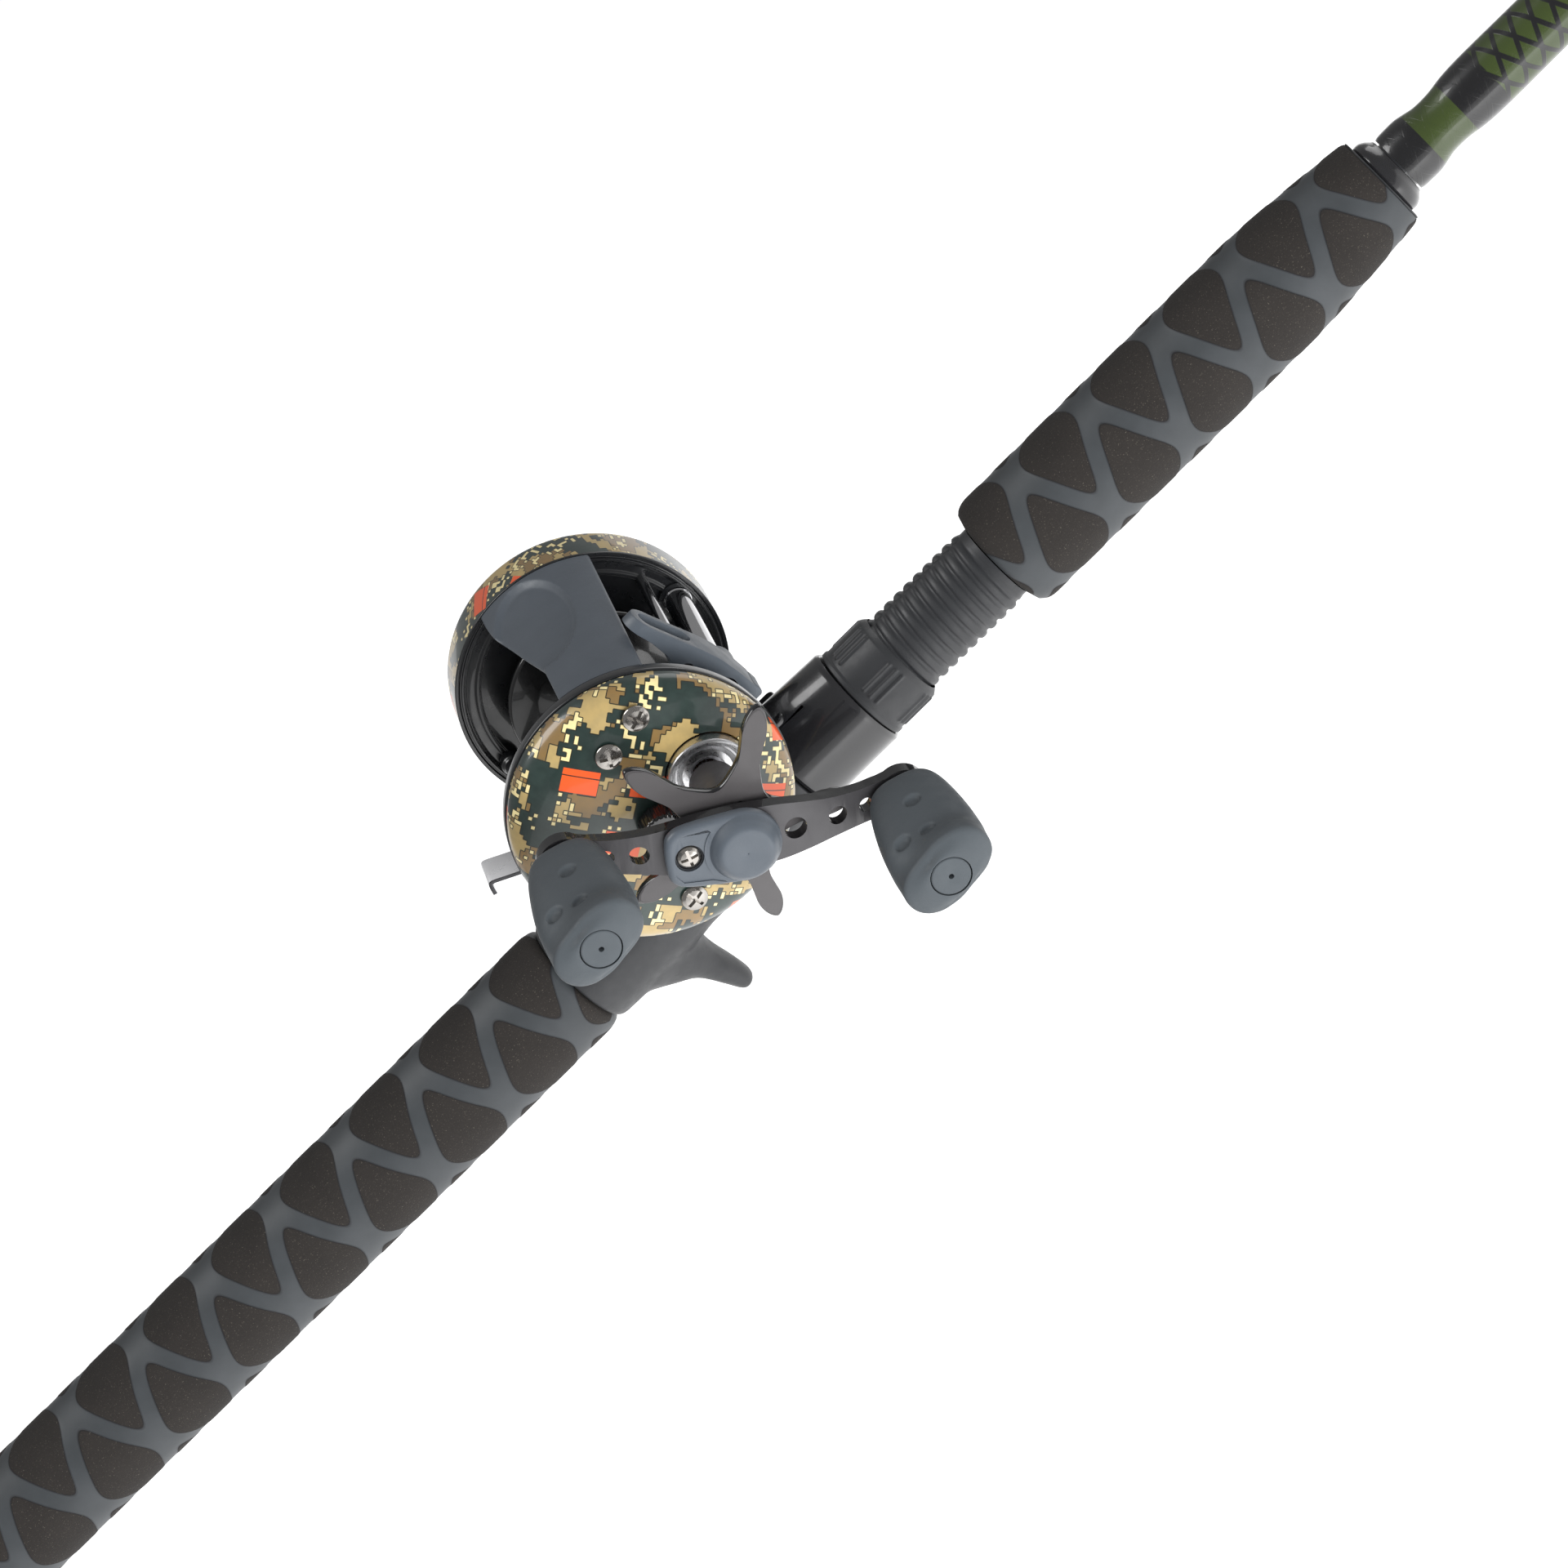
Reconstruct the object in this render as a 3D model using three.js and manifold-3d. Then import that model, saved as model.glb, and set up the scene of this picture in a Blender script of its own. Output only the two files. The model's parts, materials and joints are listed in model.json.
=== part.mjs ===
// A one-piece baitcasting fishing rod with a round, level-wind reel clamped in its seat.
// Frame: origin at the centre of the butt end, +X to the rod's tip, +Z to the reel's side, millimetres.
import * as THREE from "three";
import { mergeVertices } from "three/addons/utils/BufferGeometryUtils.js";
import Module from "manifold-3d";

const wasm = await Module();
wasm.setup();

// ---------------------------------------------------------------- driving dimensions
const GAP = 0.3; // between pieces that touch
const SLIP = 0.1; // round a sleeve on its tube

const ROD_LENGTH = 2134;
const REEL_X = 335; // the reel's centre, from the butt
const SEAT_BACK = REEL_X - 48;
const BARREL_END = REEL_X + 84.6;
const FOREGRIP_END = REEL_X + 201;
const WRAP_START = REEL_X + 206.3;
const WRAP_END = REEL_X + 330;
const GRIP_R = 14.4;
const BLANK_BUTT_R = 6.1;
const BLANK_FORE_R = 5.95; // where the foregrip ends
const BLANK_TIP_R = 1.2;
const BLANK_WALL = 1.0;
const ROD_SIDES = 16;

const BUTT_CAP_LENGTH = 20;
const SEAT_BORE_R = BLANK_BUTT_R + GAP;
const FOOT_Z = 9.6; // underside of the reel's foot
const FOOT_THICK = 1.8;
const SADDLE_R = 13.2;
const FIXED_HOOD_LENGTH = 28;
const BARREL_R = 9.8;
const THREAD_R = 10.3;
const THREAD_PITCH = 3;
const NUT_LENGTH = 12.9;
const NUT_R = 12.1;
const HOOD_START = REEL_X + 20.3;
const HOOD_END = REEL_X + 41.8;

// Reel, measured from the spool's axis: y along the axis, the handle at -y.
const SPOOL_Z = 34.76;
const RING_R = 31.5;
const RING_BORE_R = 25.6;
const RING_IN = 28.5; // inner face of each frame ring
const RING_OUT = 31.4;
const WEB = 30; // inner face of the thin web in each ring
const DRIVE_X = 14.6;
const DRIVE_Z = -0.36;
const WORM_X = 26.3;
const WORM_Z = -0.76;
const GUIDE_ROD_X = 24.5;
const GUIDE_ROD_Z = 9.24;
const ROUND = 32;

const MAIN_TEETH = 53;
const PINION_TEETH = 10;
const WIND_WHEEL_TEETH = 45;
const WORM_TEETH = 15;

const HANDLE_ANGLE = 141.9; // from +X towards +Z
const KNOB_REACH = 36.1;
const KNOB_TURN = -19.3; // the knobs' wide axis, from +X towards +Z
const ARM_FACE = -70; // outer face of the handle arm at its hub
const ARM_THICK = 2;
const KNOB_BASE = -66;
const KNOB_TOP = -101.3;

// Each guide: distance from the butt, the ring's bore radius and its centre's height over the rod's axis.
const GUIDES = [
  { x: 1010, bore: 7.6, height: 25 },
  { x: 1330, bore: 6.0, height: 20 },
  { x: 1590, bore: 4.9, height: 16 },
  { x: 1800, bore: 4.1, height: 13 },
  { x: 1975, bore: 3.5, height: 11 },
];
const TIP_BORE = 3.3;

// ---------------------------------------------------------------- materials
function finish(color, roughness, metalness = 0) {
  return new THREE.MeshStandardMaterial({ color, roughness, metalness });
}
const EVA = finish(0x2b2826, 0.95);
const SEAT = finish(0x3c3c40, 0.6);
const GLOSS_BLACK = finish(0x1c1b1d, 0.25);
const BLANK = finish(0x222426, 0.2);
const RUBBER = finish(0x1e1f21, 0.8);
const SOFT_GREY = finish(0x45494d, 0.7);
const SATIN_GREY = finish(0x4a484a, 0.35, 0.8);
const CAMO = finish(0x2f3b38, 0.3);
const BLACK_METAL = finish(0x202123, 0.3, 0.7);
const CHROME = finish(0xd8d8da, 0.1, 1);
const STEEL = finish(0xa8a8aa, 0.3, 1);
const ALUMINIUM = finish(0xc4c4c6, 0.25, 1);
const BRASS = finish(0xb08d4a, 0.35, 1);
const BRONZE = finish(0x8a6a45, 0.5, 0.8);
const CERAMIC = finish(0x2a2a2c, 0.15);
const OLIVE = finish(0x4d5c38, 0.3);

// ---------------------------------------------------------------- solids
const radians = THREE.MathUtils.degToRad;

function solid(geometry) {
  const bare = geometry.clone();
  bare.deleteAttribute("normal");
  bare.deleteAttribute("uv");
  const merged = mergeVertices(bare, 1e-4);
  return new wasm.Manifold(
    new wasm.Mesh({
      numProp: 3,
      vertProperties: new Float32Array(merged.attributes.position.array),
      triVerts: new Uint32Array(merged.index.array),
    }),
  );
}

function geometryOf(manifold) {
  const mesh = manifold.getMesh();
  const geometry = new THREE.BufferGeometry();
  geometry.setAttribute("position", new THREE.BufferAttribute(new Float32Array(mesh.vertProperties), 3));
  geometry.setIndex(new THREE.BufferAttribute(new Uint32Array(mesh.triVerts), 1));
  geometry.computeVertexNormals();
  return geometry;
}

const join = (first, ...others) => geometryOf(others.reduce((sum, one) => sum.add(solid(one)), solid(first)));
const meet = (first, other) => geometryOf(solid(first).intersect(solid(other)));
const cut = (first, ...tools) =>
  geometryOf(tools.reduce((left, one) => left.subtract(solid(one)), solid(first)));

const AXIS_TURN = {
  x: new THREE.Matrix4().makeRotationZ(-Math.PI / 2),
  y: new THREE.Matrix4(),
};

// Turns a closed outline of [along, radius] points about the X or the Y axis.
function turned(axis, outline, sides = ROUND) {
  const area = outline.reduce((sum, [a, r], i) => {
    const [b, q] = outline[(i + 1) % outline.length];
    return sum + a * q - b * r;
  }, 0);
  const points = outline.map(([along, radius]) => new THREE.Vector2(radius, along));
  points.push(points[0].clone());
  if (area > 0) points.reverse();
  return new THREE.LatheGeometry(points, sides).applyMatrix4(AXIS_TURN[axis]);
}

// A tube or disc along an axis, from one station to another.
function sleeve(axis, from, to, outer, inner = 0, sides = ROUND) {
  const outline = [
    [from, inner],
    [from, outer],
    [to, outer],
    [to, inner],
  ];
  return turned(axis, outline, sides);
}

// Extrudes a shape drawn in X and Z between two stations on Y.
function across(shape, from, to, curveSegments = 12) {
  const geometry = new THREE.ExtrudeGeometry(shape, { depth: to - from, bevelEnabled: false, curveSegments });
  return geometry.rotateX(Math.PI / 2).translate(0, to, 0);
}

// Extrudes a shape drawn in Y and Z between two stations on X.
function along(shape, from, to, curveSegments = 12) {
  const geometry = new THREE.ExtrudeGeometry(shape, { depth: to - from, bevelEnabled: false, curveSegments });
  const basis = new THREE.Matrix4().makeBasis(
    new THREE.Vector3(0, 1, 0),
    new THREE.Vector3(0, 0, 1),
    new THREE.Vector3(1, 0, 0),
  );
  return geometry.applyMatrix4(basis).translate(from, 0, 0);
}

function box(low, high) {
  const size = high.map((value, i) => value - low[i]);
  const middle = high.map((value, i) => (value + low[i]) / 2);
  return new THREE.BoxGeometry(...size).translate(...middle);
}

// A pin along Y at a place in X and Z.
function pin(x, z, from, to, radius, sides = 16) {
  return sleeve("y", from, to, radius, 0, sides).translate(x, 0, z);
}

// Skins a list of rings, each with the same number of points, and closes both ends.
function loft(rings) {
  const count = rings[0].length;
  const positions = rings.flat().flatMap((p) => p);
  const faces = [];
  for (let i = 0; i < rings.length - 1; i++) {
    for (let j = 0; j < count; j++) {
      const a = i * count + j;
      const b = i * count + ((j + 1) % count);
      faces.push(a, b, b + count, a, b + count, a + count);
    }
  }
  for (let j = 1; j < count - 1; j++) {
    const last = (rings.length - 1) * count;
    faces.push(0, j + 1, j, last, last + j, last + j + 1);
  }
  const geometry = new THREE.BufferGeometry();
  geometry.setAttribute("position", new THREE.Float32BufferAttribute(positions, 3));
  geometry.setIndex(faces);
  return geometry;
}

// A gear on the Y axis with a tooth, or a gap, towards an angle in the XZ plane.
function gear(teeth, pitchR, from, to, bore, towards, toothThere) {
  const module = (2 * pitchR) / teeth;
  const step = (2 * Math.PI) / teeth;
  const start = radians(towards) + (toothThere ? 0 : step / 2);
  const shape = new THREE.Shape();
  for (let i = 0; i < teeth; i++) {
    const centre = start + i * step;
    const corners = [
      [-0.28, pitchR - 1.2 * module],
      [0, pitchR + 0.85 * module],
      [0.28, pitchR - 1.2 * module],
    ];
    corners.forEach(([turn, radius], j) => {
      const angle = centre + turn * step;
      const place = [radius * Math.cos(angle), radius * Math.sin(angle)];
      if (i || j) shape.lineTo(...place);
      else shape.moveTo(...place);
    });
  }
  const body = across(shape, from, to);
  return bore ? cut(body, sleeve("y", from - 1, to + 1, bore, 0, 24)) : body;
}

function polygon(points) {
  return new THREE.Shape(points.map(([a, b]) => new THREE.Vector2(a, b)));
}

function disc(x, y, radius) {
  const shape = new THREE.Shape();
  shape.absarc(x, y, radius, 0, 2 * Math.PI);
  return shape;
}

// ---------------------------------------------------------------- scene graph
const rod = new THREE.Group();
const reel = new THREE.Group();
reel.position.set(REEL_X, 0, SPOOL_Z);
rod.add(reel);
const drive = new THREE.Group(); // the handle's axis
drive.position.set(DRIVE_X, 0, DRIVE_Z);
reel.add(drive);
const crank = new THREE.Group(); // +X runs along the handle to the first knob
crank.rotation.y = -radians(HANDLE_ANGLE);
drive.add(crank);

function place(parent, name, geometry, material) {
  const mesh = new THREE.Mesh(geometry, material);
  mesh.name = name;
  parent.add(mesh);
  return mesh;
}

// ---------------------------------------------------------------- rod
function blankRadius(x) {
  if (x < FOREGRIP_END) return BLANK_BUTT_R + ((BLANK_FORE_R - BLANK_BUTT_R) * x) / FOREGRIP_END;
  return BLANK_FORE_R + ((BLANK_TIP_R - BLANK_FORE_R) * (x - FOREGRIP_END)) / (ROD_LENGTH - FOREGRIP_END);
}

function blank() {
  const stations = [4, FOREGRIP_END, 1000, 1500, ROD_LENGTH - 8];
  const outside = stations.map((x) => [x, blankRadius(x)]);
  const inside = stations.map((x) => [x, Math.max(blankRadius(x) - BLANK_WALL, 0.6)]).reverse();
  return turned("x", [...outside, ...inside], ROD_SIDES);
}

function buttCap() {
  const outline = [
    [0, 0],
    [0, 11],
    [1, 13.5],
    [3.5, 15],
    [17, 15.2],
    [BUTT_CAP_LENGTH, 14.6],
    [BUTT_CAP_LENGTH, SEAT_BORE_R],
    [4 - GAP, SEAT_BORE_R],
    [4 - GAP, 0],
  ];
  return turned("x", outline, ROD_SIDES);
}

function rearGrip() {
  const start = BUTT_CAP_LENGTH + GAP;
  const end = SEAT_BACK - GAP;
  const outline = [
    [start, SEAT_BORE_R],
    [start, GRIP_R - 1.2],
    [start + 1.5, GRIP_R],
    [end - 3, GRIP_R],
    [end - 0.8, GRIP_R - 0.7],
    [end, GRIP_R - 2],
    [end, SEAT_BORE_R],
  ];
  return turned("x", outline, ROD_SIDES);
}

function foregrip() {
  const start = BARREL_END + GAP;
  const taper = REEL_X + 171;
  const outline = [
    [start, SEAT_BORE_R],
    [start, GRIP_R - 3],
    [start + 0.9, GRIP_R - 1],
    [start + 3, GRIP_R],
    [taper, GRIP_R],
    [FOREGRIP_END - 14, GRIP_R - 1.3],
    [FOREGRIP_END, 11.5],
    [FOREGRIP_END, SEAT_BORE_R],
  ];
  return turned("x", outline, ROD_SIDES);
}

// The trigger hooks down under the seat and leans towards the tip.
function triggerShape() {
  const shape = new THREE.Shape();
  shape.moveTo(-44, -9);
  shape.quadraticCurveTo(-38, -16, -31, -19);
  shape.quadraticCurveTo(-26, -24, -24.6, -30);
  shape.absarc(-22.2, -29.6, 2.4, Math.PI, Math.PI * 1.95);
  shape.quadraticCurveTo(-19, -21, -14, -12);
  shape.lineTo(-14, -9);
  shape.closePath();
  return shape;
}

function reelSeat() {
  const core = SEAT_BACK + FIXED_HOOD_LENGTH;
  const outline = [
    [SEAT_BACK, SEAT_BORE_R],
    [SEAT_BACK, 13.4],
    [SEAT_BACK + 1.2, 14.2],
    [core - 4, 14.2],
    [core, SADDLE_R],
    [REEL_X + 20, SADDLE_R],
    [REEL_X + 20, BARREL_R],
  ];
  for (let x = REEL_X + 50; x < BARREL_END - 1; x += THREAD_PITCH) {
    outline.push([x - THREAD_PITCH / 2, BARREL_R], [x, THREAD_R]);
  }
  outline.push([BARREL_END, BARREL_R], [BARREL_END, SEAT_BORE_R]);
  const body = turned("x", outline, ROD_SIDES);
  const trigger = across(triggerShape(), -5, 5, 5).translate(REEL_X, 0, 0);
  const saddle = box([REEL_X - 21, -20, FOOT_Z - GAP], [REEL_X + 33, 20, 20]);
  const pocket = box([REEL_X - 32, -8, FOOT_Z - GAP], [REEL_X - 19, 8, FOOT_Z + FOOT_THICK + GAP]);
  const bore = sleeve("x", SEAT_BACK - 1, REEL_X + 1, SEAT_BORE_R, 0, ROD_SIDES);
  const undercut = join(saddle, pocket);
  return cut(join(body, trigger), undercut, bore);
}

function slidingHood() {
  const outer = sleeve("x", HOOD_START, HOOD_END, 12.9, 0, ROD_SIDES);
  const crown = new THREE.Shape();
  crown.moveTo(-10.5, 5);
  crown.lineTo(-8, 10.8);
  crown.quadraticCurveTo(0, 16.4, 8, 10.8);
  crown.lineTo(10.5, 5);
  const raised = along(crown, HOOD_START, HOOD_END, 6);
  const barrel = sleeve("x", HOOD_START - 1, HOOD_END + 1, THREAD_R + GAP, 0, ROD_SIDES);
  const pocket = box([HOOD_START - 1, -7, 5], [HOOD_START + 13, 7, FOOT_Z + FOOT_THICK + GAP]);
  return cut(join(outer, raised), barrel, pocket);
}

function lockNut() {
  const start = HOOD_END + GAP;
  const end = start + NUT_LENGTH;
  const bore = THREAD_R + GAP;
  const outline = [
    [start, bore],
    [start, NUT_R],
    [end - 1.6, NUT_R],
    [end, NUT_R - 1.1],
    [end, bore],
  ];
  return turned("x", outline, ROD_SIDES);
}

function windingCheck() {
  const start = FOREGRIP_END + GAP;
  const bore = BLANK_FORE_R + SLIP;
  const outline = [
    [start, bore],
    [start, 8.6],
    [start + 2.2, 8.8],
    [start + 4.2, 8],
    [start + 4.6, 7.2],
    [start + 4.6, bore],
  ];
  return turned("x", outline, ROD_SIDES);
}

function buttWrap() {
  const bore = BLANK_FORE_R + SLIP;
  const local = (x) => REEL_X + x;
  const outline = [
    [WRAP_START, bore],
    [WRAP_START, 7.3],
    [local(212), 7.4],
    [local(216), 6.5],
    [local(220.5), 6.5],
    [local(226), 7.25],
    [local(318), 6.9],
    [WRAP_END, 6.15],
    [WRAP_END, bore],
  ];
  return turned("x", outline, ROD_SIDES);
}

// ---------------------------------------------------------------- guides
const RING_WALL = 1.6; // ceramic insert
const FRAME_WALL = 1.5;
const GUIDE_THICK = 2.4;
const STRIP = 0.55; // half the thickness of the frame's metal strip

// A flat strip between two points in XZ, of a width across Y.
function strip(from, to, halfWidth) {
  const run = new THREE.Vector2(to[0] - from[0], to[1] - from[1]).normalize();
  const [nx, nz] = [-run.y * STRIP, run.x * STRIP];
  const outline = [
    [from[0] + nx, from[1] + nz],
    [from[0] - nx, from[1] - nz],
    [to[0] - nx, to[1] - nz],
    [to[0] + nx, to[1] + nz],
  ];
  return across(polygon(outline), -halfWidth, halfWidth);
}

function guideFrame({ x, bore, height }) {
  const inner = bore + RING_WALL + SLIP;
  const outer = inner + FRAME_WALL;
  const half = GUIDE_THICK / 2;
  const foot = blankRadius(x) + GAP + STRIP;
  const reach = height * 0.75 + 6;
  const under = height - outer + 0.6;
  const ring = sleeve("x", x - half, x + half, outer, inner, 16).translate(0, 0, height);
  const width = Math.max(1.3, bore * 0.28);
  const feet = [-1, 1].map((side) =>
    join(
      strip([x + side * (reach + 12), foot], [x + side * reach, foot], width),
      strip([x + side * (reach + 0.2), foot], [x + side * 0.4, under], width),
    ),
  );
  return join(ring, ...feet);
}

function guideRing({ x, bore, height }) {
  const half = GUIDE_THICK / 2;
  const outer = bore + RING_WALL;
  const outline = [
    [x - half, outer],
    [x + half, outer],
    [x + half, bore + 0.4],
    [x, bore],
    [x - half, bore + 0.4],
  ];
  return turned("x", outline, 16).translate(0, 0, height);
}

function tipTop() {
  const end = ROD_LENGTH;
  const inner = BLANK_TIP_R + 2 * SLIP;
  const tube = sleeve("x", end - 22, end - 6, inner + 0.7, inner, ROD_SIDES);
  const height = 8;
  const outer = TIP_BORE + 2.2;
  const ring = sleeve("x", end - 2.4, end, outer, TIP_BORE, 16).translate(0, 0, height);
  const stays = [-1, 1].map((side) => {
    const path = new THREE.LineCurve3(
      new THREE.Vector3(end - 14, side * 1.7, 0.8),
      new THREE.Vector3(end - 1.4, side * (outer - 0.7), height - 1),
    );
    return new THREE.ExtrudeGeometry(disc(0, 0, 0.7), { extrudePath: path, steps: 1, curveSegments: 4 });
  });
  const strut = strip([end - 9, inner + 0.9], [end - 1.2, height - outer + 0.5], 0.8);
  return join(tube, ring, strut, ...stays);
}

// ---------------------------------------------------------------- reel frame
function frameRing(side) {
  const outline = [
    [side * RING_OUT, 4.5],
    [side * RING_OUT, side < 0 ? RING_R : 30.6],
    [side * RING_IN, side < 0 ? RING_R : 30.6],
    [side * RING_IN, RING_BORE_R],
    [side * WEB, RING_BORE_R],
    [side * WEB, 4.5],
  ];
  const ring = turned("y", outline);
  const spanned = (near, far) => [side * near, side * far].toSorted((a, b) => a - b);
  const boss = pin(WORM_X, WORM_Z, ...spanned(RING_IN, RING_OUT), 4.2, 20);
  const wormHole = pin(WORM_X, WORM_Z, -40, 40, 2.2, 20);
  const rodSeat = pin(GUIDE_ROD_X, GUIDE_ROD_Z, ...spanned(28, 30), 1.5, 12);
  if (side > 0) return cut(join(ring, boss), wormHole, rodSeat);
  const driveHole = pin(DRIVE_X, DRIVE_Z, -40, -20, 3.3, 20);
  const slot = box([-19.5, -40, 2.6], [-13, -20, 8.6]);
  return cut(join(ring, boss), wormHole, rodSeat, driveHole, slot);
}

const PILLARS = {
  pillar_rear: [-26.2, 0.6],
  pillar_lower_rear: [-18, -19],
  pillar_lower_front: [18, -19],
};

function pillar([x, z]) {
  return pin(x, z, -RING_IN + GAP, RING_IN - GAP, 2, 12);
}

function reelFoot() {
  const under = FOOT_Z - SPOOL_Z;
  const top = under + FOOT_THICK;
  const outline = new THREE.Shape();
  outline.moveTo(-31, 0);
  outline.absarc(-25, 0, 6, Math.PI, Math.PI / 2, true);
  outline.lineTo(-14, 9.5);
  outline.lineTo(14, 9.5);
  outline.lineTo(19.5, 6.4);
  outline.lineTo(26, 6);
  outline.absarc(26, 0, 6, Math.PI / 2, -Math.PI / 2, true);
  outline.lineTo(19.5, -6.4);
  outline.lineTo(14, -9.5);
  outline.lineTo(-14, -9.5);
  outline.lineTo(-25, -6);
  outline.absarc(-25, 0, 6, -Math.PI / 2, -Math.PI, true);
  const settings = { depth: FOOT_THICK, bevelEnabled: false, curveSegments: 6 };
  const plate = new THREE.ExtrudeGeometry(outline, settings);
  plate.translate(0, 0, under);
  const cradles = [-18, 18].map((x) => box([x - 2, -8, top - 0.5], [x + 2, 8, -19 - 2 - GAP]));
  return join(plate, ...cradles);
}

// The plate over the spool that the thumb rests on: an arc over the frame, cut away behind
// on the handle side.
function thumbRest() {
  const [front, back] = [radians(47.5), radians(99)];
  const shape = new THREE.Shape();
  shape.absarc(0, 0, 31.2, front, back);
  shape.absarc(0, 0, 29.4, back, front, true);
  const arc = across(shape, -RING_IN + GAP, RING_IN - GAP, 10);
  const away = new THREE.Shape();
  away.moveTo(-10, -40);
  away.lineTo(3.2, -40);
  away.lineTo(3.2, -13);
  away.quadraticCurveTo(-0.5, 0, -10, 14);
  const notch = new THREE.ExtrudeGeometry(away, { depth: 30, bevelEnabled: false, curveSegments: 8 });
  return cut(arc, notch.translate(0, 0, 15));
}

// ---------------------------------------------------------------- covers
const SCREWS = [
  [13.8, 21.3],
  [3.8, 19.4],
  [-8.1, -19.3],
];
const COVER_WALL = 1;

// Y of the domed handle-side cover's outer face at a radius from the spool's axis.
const DOME = [
  [-31.7, 31.3],
  [-33.6, 31.2],
  [-35.6, 30.4],
  [-37.4, 28.6],
  [-38.8, 25.6],
  [-39.9, 20],
  [-40.6, 13],
  [-41, 3.9],
];

function handleSideCover() {
  const inside = DOME.map(([y, r]) => [
    Math.min(y + COVER_WALL, -31.7),
    Math.max(r - COVER_WALL, 3.9),
  ]).reverse();
  inside[inside.length - 1] = [-31.7, 31.3 - COVER_WALL + 0.2];
  const shell = turned("y", [...DOME, ...inside]);
  const driveHole = pin(DRIVE_X, DRIVE_Z, -50, -30, 9.6, 24);
  const screwHoles = SCREWS.map(([x, z]) => pin(x, z, -50, -33, 1.3, 12));
  return cut(shell, driveHole, ...screwHoles);
}

function palmSideCover() {
  const outline = [
    [28.9, 30.9],
    [28.9, RING_R],
    [39, RING_R],
    [41, 30.6],
    [42.6, 28],
    [43.8, 22],
    [44.4, 12],
    [44.6, 0],
    [43.4, 0],
    [43.4, 4.9],
    [38.5, 4.9],
    [38.5, 6.4],
    [43.1, 6.4],
    [42.6, 21],
    [41.4, 27],
    [39.4, 29.4],
    [31.8, 29.8],
    [31.8, 30.9],
  ];
  const slot = box([-22, 38, -6], [-18, 46, 6]);
  return cut(turned("y", outline), slot);
}

function plateScrew([x, z]) {
  const outline = [
    [-42.1, 0],
    [-42.1, 1.7],
    [-41.6, 2.5],
    [-40.9, 2.6],
    [-40.9, 1.1],
    [-36, 1.1],
    [-36, 0],
  ];
  const screw = turned("y", outline, 10);
  const slots = [box([-3, -43, -0.35], [3, -41.5, 0.35]), box([-0.35, -43, -3], [0.35, -41.5, 3])];
  return cut(screw, ...slots).translate(x, Math.hypot(x, z) > 22 ? 0.6 : 0, z);
}

function clickerButton() {
  return join(
    box([-21.6, 40.4, -2.6], [-18.4, 47.4, 2.6]),
    box([-24.5, 39.6, -5.2], [-15.5, 40.7, 5.2]),
  );
}

// ---------------------------------------------------------------- spool
function spool() {
  const outline = [
    [-27.6, 8],
    [-27.6, 11],
    [-21.5, 12],
    [-21.5, 20.2],
    [-20.6, 21],
    [-19.4, 20.8],
    [-18, 10.5],
    [-15, 9],
    [15, 9],
    [18, 10.5],
    [19.4, 20.8],
    [20.6, 21],
    [21.5, 20.2],
    [21.5, 12],
    [22.5, 11],
    [22.5, 2.3],
    [-22, 2.3],
    [-22, 8],
  ];
  return turned("y", outline, 24);
}

function spoolShaft() {
  const outline = [
    [-43, 0],
    [-43, 1.1],
    [-30, 1.1],
    [-30, 2.1],
    [38, 2.1],
    [38, 1.4],
    [41.6, 1.4],
    [41.6, 0],
  ];
  return turned("y", outline, 16);
}

function brakeRotor() {
  const hub = sleeve("y", 23, 26, 5, 2.3, 16);
  const drum = sleeve("y", 23.4, 24.6, 9, 4, 16);
  const blocks = [0, 90, 180, 270].map((angle) => {
    const block = box([6.5, 24.4, -1.6], [9.4, 27.6, 1.6]);
    return block.rotateY(radians(angle));
  });
  return join(hub, drum, ...blocks);
}

function tensionCap() {
  const shape = new THREE.Shape();
  const ribs = 18;
  for (let i = 0; i < ribs * 2; i++) {
    const angle = (i * Math.PI) / ribs;
    const radius = i % 2 ? 4.8 : 5.1;
    const spot = [radius * Math.cos(angle), radius * Math.sin(angle)];
    if (i) shape.lineTo(...spot);
    else shape.moveTo(...spot);
  }
  return cut(across(shape, -47.3, -41.4), sleeve("y", -43.6, -41, 2.8, 0, 16));
}

// ---------------------------------------------------------------- gears and clutch
const TO_SPOOL = 180 - THREE.MathUtils.radToDeg(Math.atan2(-DRIVE_Z, DRIVE_X));
const SPAN = Math.hypot(DRIVE_X, DRIVE_Z);
const WORM_SPAN = Math.hypot(WORM_X - DRIVE_X, WORM_Z - DRIVE_Z);
const TO_WORM = THREE.MathUtils.radToDeg(Math.atan2(WORM_Z - DRIVE_Z, WORM_X - DRIVE_X));

function mainGear() {
  const pitchR = (SPAN * MAIN_TEETH) / (MAIN_TEETH + PINION_TEETH);
  return gear(MAIN_TEETH, pitchR, -36.1, -34.5, 3.1, TO_SPOOL, true);
}

function pinion() {
  const pitchR = (SPAN * PINION_TEETH) / (MAIN_TEETH + PINION_TEETH);
  const teeth = gear(PINION_TEETH, pitchR, -37.4, -32.9, 0, TO_SPOOL + 180, false);
  const neck = sleeve("y", -33, -31, 1.9, 0, 16);
  const dogs = sleeve("y", -31.2, -30.4, 3.8, 0, 16);
  return cut(join(teeth, neck, dogs), sleeve("y", -40, -30, 1.3, 0, 16));
}

function pinionYoke() {
  const shape = new THREE.Shape();
  shape.moveTo(-20, -4);
  shape.lineTo(2, -4);
  shape.absarc(0, 0, 4.2, -Math.PI / 3, Math.PI / 3);
  shape.lineTo(-20, 4);
  return cut(across(shape, -32.5, -31.8), sleeve("y", -34, -30, 2.2, 0, 16));
}

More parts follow.
